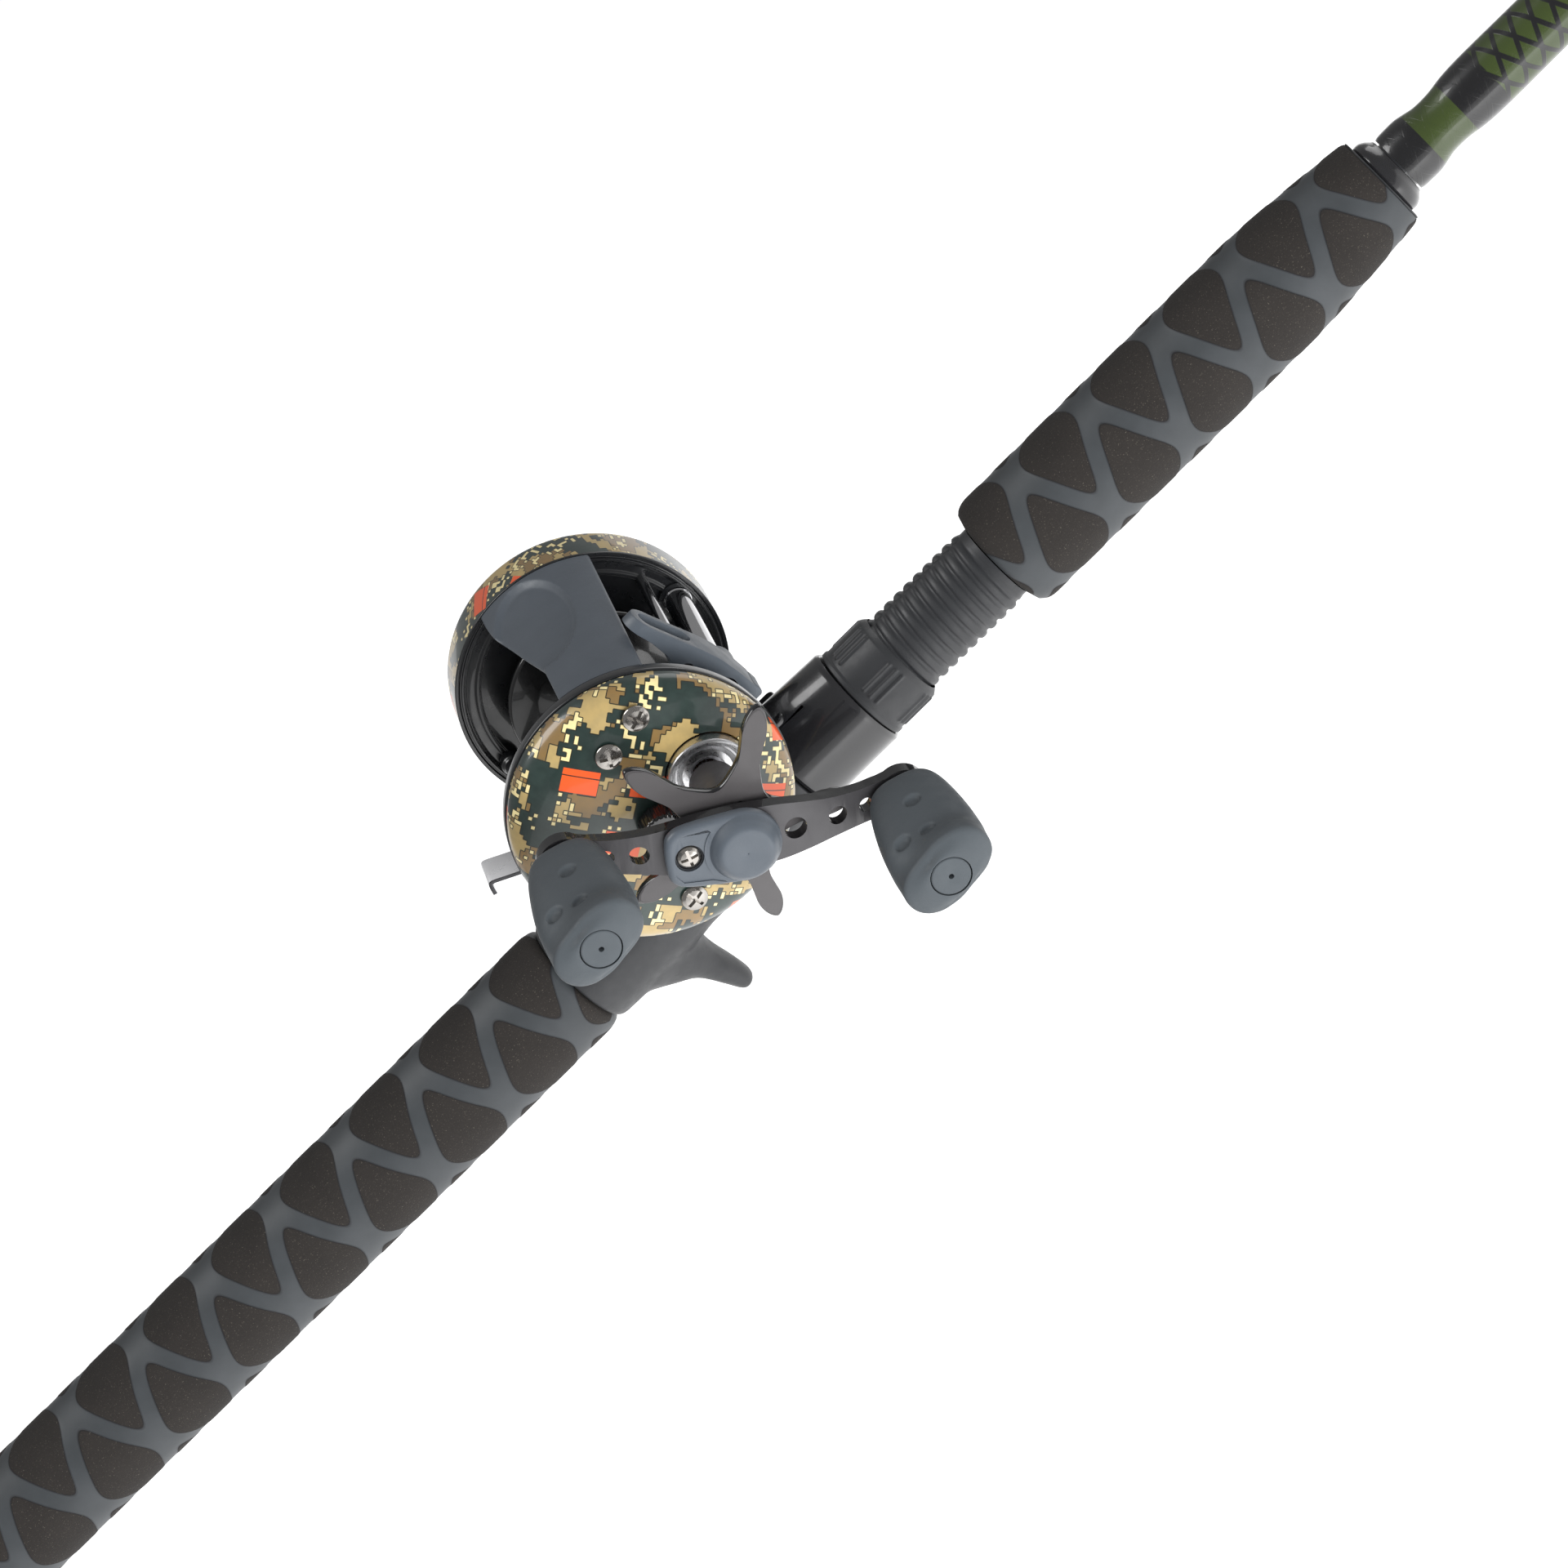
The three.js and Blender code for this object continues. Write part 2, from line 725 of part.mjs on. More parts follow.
function windWheel() {
  const pitchR = (WORM_SPAN * WIND_WHEEL_TEETH) / (WIND_WHEEL_TEETH + WORM_TEETH);
  return gear(WIND_WHEEL_TEETH, pitchR, -33.9, -32.5, 3.1, TO_WORM, true);
}

function wormShaft() {
  const pitchR = (WORM_SPAN * WORM_TEETH) / (WIND_WHEEL_TEETH + WORM_TEETH);
  const teeth = gear(WORM_TEETH, pitchR, -34, -32.4, 0, TO_WORM + 180, false);
  return join(teeth, sleeve("y", -33, 31, 1.7, 0, 16));
}

function wormTube() {
  const tube = sleeve("y", -RING_IN + GAP, RING_IN - GAP, 2.9, 2.1, 20);
  return cut(tube, box([-1, -22, -4], [1, 22, 0]));
}

function dragStack() {
  const outline = [
    [-38.7, 3.1],
    [-38.7, 5.4],
    [-38, 8.6],
    [-36.9, 8.8],
    [-36.9, 3.1],
  ];
  return turned("y", outline, 24);
}

function shaftCollar() {
  const outline = [
    [-42.4, 8.6],
    [-42.4, 9.3],
    [-39.1, 9.3],
    [-39.1, 5.6],
    [-40.2, 5.6],
    [-40.2, 7.3],
    [-41.3, 7.3],
    [-41.3, 8.6],
  ];
  return turned("y", outline, 24);
}

function driveShaft() {
  const outline = [
    [-73.4, 0],
    [-73.4, 2.5],
    [-67.7, 2.5],
    [-67.7, 4.6],
    [-64.2, 4.6],
    [-64.2, 3],
    [-29.3, 3],
    [-29.3, 0],
  ];
  return turned("y", outline, 20);
}

// ---------------------------------------------------------------- star drag and handle
const STAR_ARMS = [33, 105, 177, 249, 321]; // from +X towards +Z

const STAR_BEND = [
  [4, -63.6],
  [10, -63.5],
  [14, -63.2],
  [19, -62.6],
  [23, -62],
  [28, -61.2],
];
const STAR_THICK = 1.7;

// One arm of the star: a paddle that leans back towards the reel.
function starArm(angle) {
  const outline = new THREE.Shape();
  outline.moveTo(5, 6);
  outline.quadraticCurveTo(13, 1.8, 18, 2.4);
  outline.quadraticCurveTo(22, 2.9, 25, 1.5);
  outline.quadraticCurveTo(27.4, 0, 25, -1.5);
  outline.quadraticCurveTo(22, -2.9, 18, -2.4);
  outline.quadraticCurveTo(13, -1.8, 5, -6);
  const inner = STAR_BEND.map(([x, y]) => [x, y + STAR_THICK]).reverse();
  const settings = { depth: 10, bevelEnabled: false };
  const bent = new THREE.ExtrudeGeometry(polygon([...STAR_BEND, ...inner]), settings);
  return meet(across(outline, -70, -45, 5), bent.translate(0, 0, -5)).rotateY(-radians(angle));
}

function starDrag() {
  const outline = [
    [-63.6, 0],
    [-63.6, 8.6],
    [-61.8, 8.6],
    [-59, 6],
    [-43.6, 5.2],
    [-43.6, 0],
  ];
  const hub = turned("y", outline, 20).rotateY(0.05);
  return cut(join(hub, ...STAR_ARMS.map(starArm)), sleeve("y", -66, -40, 3.2, 0, 20));
}

// Half width of the handle arm, and how far its outer face is set back, at distances from its hub.
const ARM_WIDTH = [
  [8, 6.1],
  [14, 5.4],
  [20, 4.6],
  [27, 4],
  [31, 4],
];
const ARM_BEND = [
  [8, 0],
  [14, 0.5],
  [20, 1.6],
  [26, 3.3],
  [30, 4.6],
  [32, 5],
  [46, 5],
];
const ARM_HOLES = [
  [11.7, 2.4],
  [21.1, 2],
  [27.6, 1.5],
];
const ARM_END_R = 5.6;

// The arm is a plate cut to an outline and bent back towards the reel at both ends.
function handleArm() {
  const outline = new THREE.Shape();
  const cornerTurn = Math.asin(ARM_WIDTH.at(-1)[1] / ARM_END_R);
  const upper = ARM_WIDTH.map(([x, half]) => [x, half]);
  outline.moveTo(-8, 6.1);
  upper.forEach(([x, half]) => outline.lineTo(x, half));
  outline.absarc(KNOB_REACH, 0, ARM_END_R, Math.PI - cornerTurn, cornerTurn - Math.PI, true);
  upper.toReversed().forEach(([x, half]) => outline.lineTo(x, -half));
  upper.forEach(([x, half]) => outline.lineTo(-x, -half));
  outline.absarc(-KNOB_REACH, 0, ARM_END_R, -cornerTurn, cornerTurn, true);
  upper.toReversed().forEach(([x, half]) => outline.lineTo(-x, half));
  const half = ARM_BEND.map(([x, back]) => [x, ARM_FACE + back]);
  const face = [...half.map(([x, y]) => [-x, y]).reverse(), ...half];
  const back = face.map(([x, y]) => [x, y + ARM_THICK]).reverse();
  const bent = new THREE.ExtrudeGeometry(polygon([...face, ...back]), { depth: 20, bevelEnabled: false });
  const plate = meet(across(outline, -75, -60, 8), bent.translate(0, 0, -10));
  const posts = [-KNOB_REACH, KNOB_REACH].map((x) => pin(x, 0, KNOB_TOP + 3, ARM_FACE + 6, 2.2, 12));
  const holes = ARM_HOLES.flatMap(([at, radius]) => [
    pin(at, 0, -75, -60, radius, 12),
    pin(-at, 0, -75, -60, radius, 12),
  ]);
  return cut(join(plate, ...posts), pin(0, 0, -75, -60, 2.8, 24), ...holes);
}

function handleNut() {
  return cut(sleeve("y", -73.3, ARM_FACE - GAP, 5.7, 0, 6), sleeve("y", -80, -60, 2.8, 0, 24));
}

const COVER_SCREW_AT = 11.7;
const COVER_TOP = -73.5;
const BOSS_TOP = -76.2;

function nutCover() {
  const shape = new THREE.Shape();
  shape.moveTo(0, -8);
  shape.lineTo(12.4, -6.6);
  shape.quadraticCurveTo(16.2, -6, 16.2, -2.5);
  shape.lineTo(16.2, 2.5);
  shape.quadraticCurveTo(16.2, 6, 12.4, 6.6);
  shape.lineTo(0, 8);
  shape.absarc(0, 0, 8, Math.PI / 2, (Math.PI * 3) / 2);
  const plate = across(shape, COVER_TOP, ARM_FACE - GAP, 10);
  const boss = turned(
    "y",
    [
      [BOSS_TOP, 0],
      [BOSS_TOP, 5.2],
      [BOSS_TOP + 1, 6.3],
      [COVER_TOP, 7.8],
      [COVER_TOP + 1, 7.9],
      [COVER_TOP + 1, 0],
    ],
    32,
  );
  const nutPocket = pin(0, 0, -73.7, -60, 6.1, 24);
  const screwHole = pin(COVER_SCREW_AT, 0, -80, -60, 1.6, 16);
  const counterbore = pin(COVER_SCREW_AT, 0, -80, COVER_TOP + 1.3, 3, 20);
  return cut(join(plate, boss), nutPocket, screwHole, counterbore);
}

function coverScrew() {
  const outline = [
    [-73.4, 0],
    [-73.4, 1.9],
    [-73, 2.6],
    [-72.5, 2.6],
    [-72.5, 1.25],
    [-67, 1.25],
    [-67, 0],
  ];
  const screw = turned("y", outline, 10);
  const slots = [box([-3, -75, -0.35], [3, -72.9, 0.35]), box([-0.35, -75, -3], [0.35, -72.9, 3])];
  return cut(screw, ...slots).translate(COVER_SCREW_AT, 0, 0);
}

// Stations down a knob: half its width and half its thickness.
const KNOB = [
  { y: KNOB_BASE, wide: 6.2, thick: 5.4 },
  { y: KNOB_BASE - 2.5, wide: 7.8, thick: 6.6 },
  { y: KNOB_BASE - 10, wide: 9.2, thick: 6.8 },
  { y: KNOB_BASE - 20, wide: 10.6, thick: 7.2 },
  { y: KNOB_BASE - 28, wide: 11.4, thick: 8.2 },
  { y: KNOB_TOP + 3.4, wide: 11, thick: 8.3 },
  { y: KNOB_TOP + 1, wide: 9.6, thick: 7.2 },
  { y: KNOB_TOP, wide: 7.6, thick: 5.6 },
];
const KNOB_SIDES = 16;

function knob() {
  const rings = KNOB.map(({ y, wide, thick }) =>
    Array.from({ length: KNOB_SIDES }, (_, i) => {
      const angle = (i * 2 * Math.PI) / KNOB_SIDES;
      const power = 0.72; // between an ellipse at 1 and a box at 0
      const round = (value) => Math.sign(value) * Math.abs(value) ** power;
      return [wide * round(Math.cos(angle)), y, thick * round(Math.sin(angle))];
    }),
  );
  const bore = pin(0, 0, -110, -60, 2.5, 12);
  const recess = pin(0, 0, -110, KNOB_TOP + 2.4, 4.5, 16);
  return cut(loft(rings), bore, recess);
}

function knobCap() {
  const cap = pin(0, 0, KNOB_TOP - 0.1, KNOB_TOP + 2, 4.2, 16);
  return cut(cap, pin(0, 0, -110, KNOB_TOP + 0.9, 0.5, 8));
}

// ---------------------------------------------------------------- level wind
const CARRIAGE_Y = -14;

// The carriage rides on the worm tube and the guide rod. Its plate leans back over them and
// carries a tall oval eye for the line.
function lineCarriage() {
  const side = [
    [22.3, -3.4],
    [25, -6.2],
    [30.4, -7],
    [31.4, -5.6],
    [31.4, 2],
    [30.4, 9],
    [28, 18],
    [25.6, 26.4],
    [23.4, 26.4],
    [24.6, 17],
    [22.3, 12],
  ];
  const front = new THREE.Shape();
  front.absarc(0, 22.4, 4, 0, Math.PI);
  front.lineTo(-4, -8);
  front.lineTo(4, -8);
  const body = meet(across(polygon(side), -5, 5), along(front, 20, 34, 8));
  const eye = new THREE.Shape();
  eye.absarc(0, 22.2, 2.3, 0, Math.PI);
  eye.absarc(0, 14.8, 2.3, Math.PI, 2 * Math.PI);
  const sleeveRound = pin(WORM_X, WORM_Z, 2, 9, 4.8, 20);
  const tubeBore = pin(WORM_X, WORM_Z, -10, 12, 3.2, 20);
  const rodBore = pin(GUIDE_ROD_X, GUIDE_ROD_Z, -10, 10, 1.55, 16);
  return cut(join(body, sleeveRound), along(eye, 20, 34, 8), tubeBore, rodBore);
}

function guideRod() {
  return pin(GUIDE_ROD_X, GUIDE_ROD_Z, -29.8, 29.8, 1.25, 12);
}

// The bent chrome tab behind the frame that the thumb pushes down, with its finger into the clutch.
function releaseLever() {
  const tab = [
    [-28.6, 7.6],
    [-30.2, 8.2],
    [-36.6, 11.9],
    [-38.6, 8.6],
    [-37.6, 8],
    [-36.3, 10.2],
    [-30.6, 6.9],
    [-29, 6.3],
  ];
  const plate = across(polygon(tab), -27.6, -18);
  const stem = box([-29.8, -28, 6.3], [-14.5, -26.8, 7.8]);
  const finger = box([-18, -31.4, 6.4], [-14.5, -27, 7.7]);
  return join(plate, stem, finger);
}

// ---------------------------------------------------------------- assembly
place(rod, "blank", blank(), BLANK);
place(rod, "butt_cap", buttCap(), RUBBER);
place(rod, "rear_grip", rearGrip(), EVA);
place(rod, "reel_seat", reelSeat(), SEAT);
place(rod, "sliding_hood", slidingHood(), GLOSS_BLACK);
place(rod, "lock_nut", lockNut(), SEAT);
place(rod, "foregrip", foregrip(), EVA);
place(rod, "winding_check", windingCheck(), RUBBER);
place(rod, "butt_wrap", buttWrap(), OLIVE);
GUIDES.forEach((guide, i) => {
  place(rod, `guide_${i + 1}_frame`, guideFrame(guide), BLACK_METAL);
  place(rod, `guide_${i + 1}_ring`, guideRing(guide), CERAMIC);
});
place(rod, "tip_top", tipTop(), BLACK_METAL);

place(reel, "frame_ring_handle_side", frameRing(-1), BLACK_METAL);
place(reel, "frame_ring_palm_side", frameRing(1), BLACK_METAL);
for (const [name, spot] of Object.entries(PILLARS)) place(reel, name, pillar(spot), BLACK_METAL);
place(reel, "reel_foot", reelFoot(), BLACK_METAL);
place(reel, "thumb_rest", thumbRest(), SOFT_GREY);
place(reel, "handle_side_cover", handleSideCover(), CAMO);
place(reel, "palm_side_cover", palmSideCover(), CAMO);
SCREWS.forEach((spot, i) => place(reel, `plate_screw_${i + 1}`, plateScrew(spot), CHROME));
place(reel, "clicker_button", clickerButton(), SOFT_GREY);
place(reel, "spool", spool(), GLOSS_BLACK);
place(reel, "spool_shaft", spoolShaft(), STEEL);
place(reel, "spool_bearing_handle_side", sleeve("y", -41.1, -38.9, 3.6, 1.3, 16), STEEL);
place(reel, "spool_bearing_palm_side", sleeve("y", 39, 41.6, 4.6, 1.6, 16), STEEL);
place(reel, "brake_rotor", brakeRotor(), SOFT_GREY);
place(reel, "tension_cap", tensionCap(), SOFT_GREY);
place(reel, "pinion", pinion(), BRASS);
place(reel, "pinion_yoke", pinionYoke(), STEEL);
place(reel, "worm_shaft", wormShaft().translate(WORM_X, 0, WORM_Z), STEEL);
place(reel, "worm_tube", wormTube().translate(WORM_X, 0, WORM_Z), CHROME);
place(reel, "guide_rod", guideRod(), CHROME);
place(reel, "line_carriage", lineCarriage().translate(0, CARRIAGE_Y, 0), SOFT_GREY);
place(reel, "release_lever", releaseLever(), CHROME);

place(drive, "main_gear", mainGear(), BRASS);
place(drive, "level_wind_wheel", windWheel(), SOFT_GREY);
place(drive, "drag_stack", dragStack(), BRONZE);
place(drive, "shaft_collar", shaftCollar(), ALUMINIUM);
place(drive, "drive_shaft", driveShaft(), STEEL);
place(drive, "star_drag", starDrag(), GLOSS_BLACK);
place(crank, "handle_arm", handleArm(), SATIN_GREY);
place(crank, "handle_nut", handleNut(), STEEL);
place(crank, "nut_cover", nutCover(), SOFT_GREY);
place(crank, "cover_screw", coverScrew(), CHROME);
[KNOB_REACH, -KNOB_REACH].forEach((x, i) => {
  const grip = place(crank, `knob_${i + 1}`, knob(), SOFT_GREY);
  grip.position.x = x;
  grip.rotation.y = radians(HANDLE_ANGLE - KNOB_TURN);
  const cap = place(crank, `knob_cap_${i + 1}`, knobCap(), SOFT_GREY);
  cap.position.x = x;
});

export default rod;
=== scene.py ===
import json
import math

import bmesh
import bpy
import numpy as np
from mathutils import Matrix, Vector


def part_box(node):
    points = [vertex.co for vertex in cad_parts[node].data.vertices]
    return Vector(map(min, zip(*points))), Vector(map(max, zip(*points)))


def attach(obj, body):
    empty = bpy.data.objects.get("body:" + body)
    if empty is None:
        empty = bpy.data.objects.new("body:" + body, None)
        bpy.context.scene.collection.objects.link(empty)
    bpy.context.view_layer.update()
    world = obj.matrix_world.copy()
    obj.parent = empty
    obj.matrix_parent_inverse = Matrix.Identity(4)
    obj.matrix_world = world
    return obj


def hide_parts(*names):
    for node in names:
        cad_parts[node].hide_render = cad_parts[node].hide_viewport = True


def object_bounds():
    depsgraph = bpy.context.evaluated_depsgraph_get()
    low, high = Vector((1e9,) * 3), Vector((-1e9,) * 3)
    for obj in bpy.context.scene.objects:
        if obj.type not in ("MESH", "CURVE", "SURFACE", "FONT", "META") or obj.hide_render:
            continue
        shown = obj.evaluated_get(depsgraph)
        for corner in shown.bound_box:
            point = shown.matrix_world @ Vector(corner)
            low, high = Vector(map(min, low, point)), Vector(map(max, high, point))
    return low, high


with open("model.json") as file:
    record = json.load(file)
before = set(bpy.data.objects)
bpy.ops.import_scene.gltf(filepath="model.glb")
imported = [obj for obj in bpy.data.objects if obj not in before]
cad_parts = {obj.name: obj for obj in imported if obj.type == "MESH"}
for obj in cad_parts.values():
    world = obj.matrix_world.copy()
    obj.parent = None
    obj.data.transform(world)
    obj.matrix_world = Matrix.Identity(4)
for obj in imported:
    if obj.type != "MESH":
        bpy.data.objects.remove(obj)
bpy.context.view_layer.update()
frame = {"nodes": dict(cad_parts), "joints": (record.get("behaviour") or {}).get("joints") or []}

MM = 0.001  # lengths below are in millimetres
joints = {j["name"]: j for j in frame["joints"]}


def pivot(joint):
    """A joint's place, in millimetres."""
    return Vector(joints[joint]["pos_m"]) / MM


SPOOL = pivot("spool_spin")
DRIVE = pivot("handle_spin")
WORM = pivot("worm_spin")
REEL_X = SPOOL.x


def along_rod(node):
    """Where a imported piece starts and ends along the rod, in millimetres."""
    return tuple(corner.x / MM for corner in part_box(node))


KNOBS = [pivot("knob_1_spin"), pivot("knob_2_spin")]
KNOB_REACH = (KNOBS[0] - DRIVE).length
HANDLE_ANGLE = math.degrees(math.atan2(KNOBS[0].z - DRIVE.z, KNOBS[0].x - DRIVE.x))
ROD_END = along_rod("blank")[1]


# ------------------------------------------------------------------ camera, light and floor
AZIMUTH, ELEVATION, ROLL = (math.radians(a) for a in (11.17, 28.97, 49.98))
DISTANCE = 993.5
PAN_RIGHT, PAN_UP = 12.73, 9.11
LENS = 102.2

BACK = Vector((math.sin(AZIMUTH) * math.cos(ELEVATION), -math.cos(AZIMUTH) * math.cos(ELEVATION),
               math.sin(ELEVATION)))
LEVEL = Vector((math.cos(AZIMUTH), math.sin(AZIMUTH), 0))
RISE = BACK.cross(LEVEL)
RIGHT = LEVEL * math.cos(ROLL) - RISE * math.sin(ROLL)
UP = LEVEL * math.sin(ROLL) + RISE * math.cos(ROLL)
LOOK_AT = Vector((REEL_X, 0, 0))


def facing(right, up, back, place):
    """A matrix that stands at a place in millimetres and looks along -back."""
    turn = Matrix((right, up, back)).transposed().to_4x4()
    return Matrix.Translation(place * MM) @ turn


def make_camera():
    data = bpy.data.cameras.new("camera")
    data.lens = LENS
    data.sensor_width = 36
    camera = bpy.data.objects.new("camera", data)
    bpy.context.scene.collection.objects.link(camera)
    place = LOOK_AT + BACK * DISTANCE + RIGHT * PAN_RIGHT + UP * PAN_UP
    camera.matrix_world = facing(RIGHT, UP, BACK, place)
    bpy.context.scene.camera = camera


def soft_light(name, along_right, along_up, along_back, size, power, mirrored=True):
    """An area light placed by the camera's own directions, aimed at the reel."""
    data = bpy.data.lights.new(name, "AREA")
    data.shape = "RECTANGLE"
    data.size = size
    data.size_y = size
    data.energy = power
    light = bpy.data.objects.new(name, data)
    bpy.context.scene.collection.objects.link(light)
    light.visible_glossy = mirrored
    offset = RIGHT * along_right + UP * along_up + BACK * along_back
    back = offset.normalized()
    right = UP.cross(back).normalized()
    light.matrix_world = facing(right, back.cross(right), back, LOOK_AT + offset)


WORLD_STRENGTH = 0.27
FLOOR_DROP = 0.32  # metres below the object's lowest point
FLOOR_HALF = 12  # metres
FLOOR_WHITE, FLOOR_GLOW = 0.93, 0.72


def make_stage():
    world = bpy.data.worlds.new("studio")
    bpy.context.scene.world = world
    world.use_nodes = True
    world.node_tree.nodes["Background"].inputs["Color"].default_value = (1, 1, 1, 1)
    world.node_tree.nodes["Background"].inputs["Strength"].default_value = WORLD_STRENGTH
    soft_light("front", 300, -250, 1100, 0.5, 19, mirrored=False)
    soft_light("side", -1000, 500, 300, 0.6, 6.5)
    soft_light("rim", 250, 1150, -250, 0.6, 2)
    floor_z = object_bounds()[0][2] - FLOOR_DROP
    mesh = bpy.data.meshes.new("floor")
    corners = [(x * FLOOR_HALF, y * FLOOR_HALF) for x, y in ((-1, -1), (1, -1), (1, 1), (-1, 1))]
    mesh.from_pydata([(x, y, floor_z) for x, y in corners], [], [(0, 1, 2, 3)])
    floor = bpy.data.objects.new("floor", mesh)
    bpy.context.scene.collection.objects.link(floor)
    pale = bpy.data.materials.new("floor")
    pale.use_nodes = True
    shader = pale.node_tree.nodes["Principled BSDF"]
    shader.inputs["Base Color"].default_value = (FLOOR_WHITE, FLOOR_WHITE, FLOOR_WHITE, 1)
    shader.inputs["Roughness"].default_value = 0.9
    shader.inputs["Emission Color"].default_value = (1, 1, 1, 1)
    shader.inputs["Emission Strength"].default_value = FLOOR_GLOW
    mesh.materials.append(pale)
    bpy.context.scene.view_settings.view_transform = "Standard"


make_camera()
make_stage()


# ------------------------------------------------------------------ materials
def linear(hex_colour):
    """A shader colour from an sRGB hex number."""
    parts = [((hex_colour >> shift) & 255) / 255 for shift in (16, 8, 0)]
    return tuple(c / 12.92 if c < 0.04045 else ((c + 0.055) / 1.055) ** 2.4 for c in parts) + (1,)


class Nodes:
    """A material's node tree, with short ways to add and join nodes."""

    def __init__(self, name):
        self.material = bpy.data.materials.new(name)
        self.material.use_nodes = True
        self.tree = self.material.node_tree
        self.shader = self.tree.nodes["Principled BSDF"]

    def add(self, kind, inputs=(), **settings):
        node = self.tree.nodes.new(kind)
        for key, value in settings.items():
            setattr(node, key, value)
        for key, value in dict(inputs).items():
            self.feed(node.inputs[key], value)
        return node

    def feed(self, socket, value):
        if isinstance(value, bpy.types.NodeSocket):
            self.tree.links.new(value, socket)
        else:
            socket.default_value = value

    def math(self, operation, a, b=0.0):
        return self.add("ShaderNodeMath", {0: a, 1: b}, operation=operation).outputs[0]

    def vector(self, operation, a, b):
        return self.add("ShaderNodeVectorMath", {0: a, 1: b}, operation=operation).outputs[0]

    def mix(self, factor, a, b):
        node = self.add("ShaderNodeMix", data_type="RGBA")
        self.feed(node.inputs[0], factor)
        self.feed(node.inputs[6], a)
        self.feed(node.inputs[7], b)
        return node.outputs[2]

    def place(self):
        """The surface's place in millimetres."""
        here = self.add("ShaderNodeTexCoord").outputs["Object"]
        return self.add("ShaderNodeVectorMath", {0: here, "Scale": 1 / MM}, operation="SCALE").outputs[0]

    def noise(self, scale, detail=2.0, place=None, roughness=0.5):
        vector = place or self.place()
        inputs = {"Vector": vector, "Scale": scale, "Detail": detail, "Roughness": roughness}
        return self.add("ShaderNodeTexNoise", inputs).outputs["Fac"]

    def step(self, value, low, high, to_low=0.0, to_high=1.0):
        inputs = {"Value": value, 1: low, 2: high, 3: to_low, 4: to_high}
        return self.add("ShaderNodeMapRange", inputs, interpolation_type="SMOOTHSTEP").outputs[0]

    def bump(self, height, distance):
        node = self.add("ShaderNodeBump", {"Height": height, "Distance": distance * MM, "Strength": 1.0})
        self.tree.links.new(node.outputs[0], self.shader.inputs["Normal"])

    def finish(self, colour, roughness, metallic=0.0, coat=0.0, coat_roughness=0.05, specular=0.5):
        self.feed(self.shader.inputs["Base Color"], colour)
        self.feed(self.shader.inputs["Roughness"], roughness)
        self.shader.inputs["Metallic"].default_value = metallic
        self.shader.inputs["Coat Weight"].default_value = coat
        self.shader.inputs["Coat Roughness"].default_value = coat_roughness
        self.shader.inputs["Specular IOR Level"].default_value = specular
        return self.material


def mottled(name, colour, roughness, metallic=0.0, coat=0.0, spread=0.12, grain=0.9, depth=0.03,
            specular=0.5):
    """A moulded, cast or painted surface: slight colour and gloss changes over a fine grain."""
    n = Nodes(name)
    base = linear(colour)
    light = tuple(min(1, c * (1 + spread)) for c in base[:3]) + (1,)
    dark = tuple(c * (1 - spread) for c in base[:3]) + (1,)
    clouds = n.noise(0.12, 3)
    shade = n.mix(clouds, dark, light)
    gloss = n.step(n.noise(0.35, 4), 0.3, 0.7, roughness * 0.88, min(1, roughness * 1.12))
    n.bump(n.noise(grain, 4), depth)
    return n.finish(shade, gloss, metallic, coat, specular=specular)


def brushed(name, colour, roughness, metallic=1.0, stretch=(1, 0.05, 1), depth=0.012):
    """Machined metal, with fine marks drawn out along one axis."""
    n = Nodes(name)
    drawn = n.vector("MULTIPLY", n.place(), stretch)
    marks = n.noise(2.2, 5, drawn, 0.7)
    base = linear(colour)
    shade = n.mix(marks, tuple(c * 0.82 for c in base[:3]) + (1,), base)
    n.bump(marks, depth)
    return n.finish(shade, n.step(marks, 0.3, 0.7, roughness * 0.75, roughness * 1.3), metallic)


def lattice_shape(n):
    """How far a point lies inside a pad of a grip's lattice, under 1 in it. The UV map counts the cells."""
    uv = n.add("ShaderNodeSeparateXYZ", {0: n.add("ShaderNodeTexCoord").outputs["UV"]})
    sides = []
    for axis in (0, 1):
        offset = n.math("SUBTRACT", n.math("FRACT", n.math("ADD", uv.outputs[axis], 100.5)), 0.5)
        sides.append(n.math("POWER", n.math("DIVIDE", n.math("ABSOLUTE", offset), PAD_HALF), PAD_POWER))
    return n.math("ADD", *sides)


PAD_HALF = 0.4  # half a pad, as a share of the lattice's spacing
PAD_POWER = 6  # how square its corners are


def grip_foam():
    """Speckled foam pads between the smooth slate bands of the shrunk sleeve, with painted shade as a dark
    rim round each pad.
    """
    n = Nodes("grip_foam")
    inside = lattice_shape(n)
    pad = n.step(inside, 0.94, 1.12, 1, 0)
    speck = n.noise(3.2, 2, roughness=0.7)
    flecks = n.step(speck, 0.62, 0.74)
    pores = n.step(speck, 0.36, 0.26)
    patch = n.noise(0.09, 3)
    foam = n.mix(patch, linear(0x232120), linear(0x2D2A28))
    foam = n.mix(n.math("MULTIPLY", flecks, 0.6), foam, linear(0x6A655C))
    foam = n.mix(n.math("MULTIPLY", pores, 0.6), foam, linear(0x141210))
    band = n.mix(n.noise(0.16, 3), linear(0x303335), linear(0x3E4144))
    # Painted shade: a dark rim where each pad meets the band, mixed in two lines below. It stands in for the
    # shadow along the pads' raised edges.
    edge = n.math("MULTIPLY", n.step(inside, 0.8, 1.0), n.step(inside, 1.35, 1.05))
    surface = n.mix(pad, band, foam)
    surface = n.mix(n.math("MULTIPLY", edge, 0.55), surface, linear(0x15161A))
    rough = n.step(pad, 0, 1, 0.52, 0.95)
    grain = n.math("MULTIPLY", pad, n.noise(2.6, 3))
    faint = n.math("MULTIPLY", n.noise(0.8, 2), 0.12)
    n.bump(n.math("ADD", grain, faint), 0.12)
    return n.finish(surface, rough, specular=0.35)


CAMO_PIXEL = 1.0
CAMO_TURN = math.radians(-33)


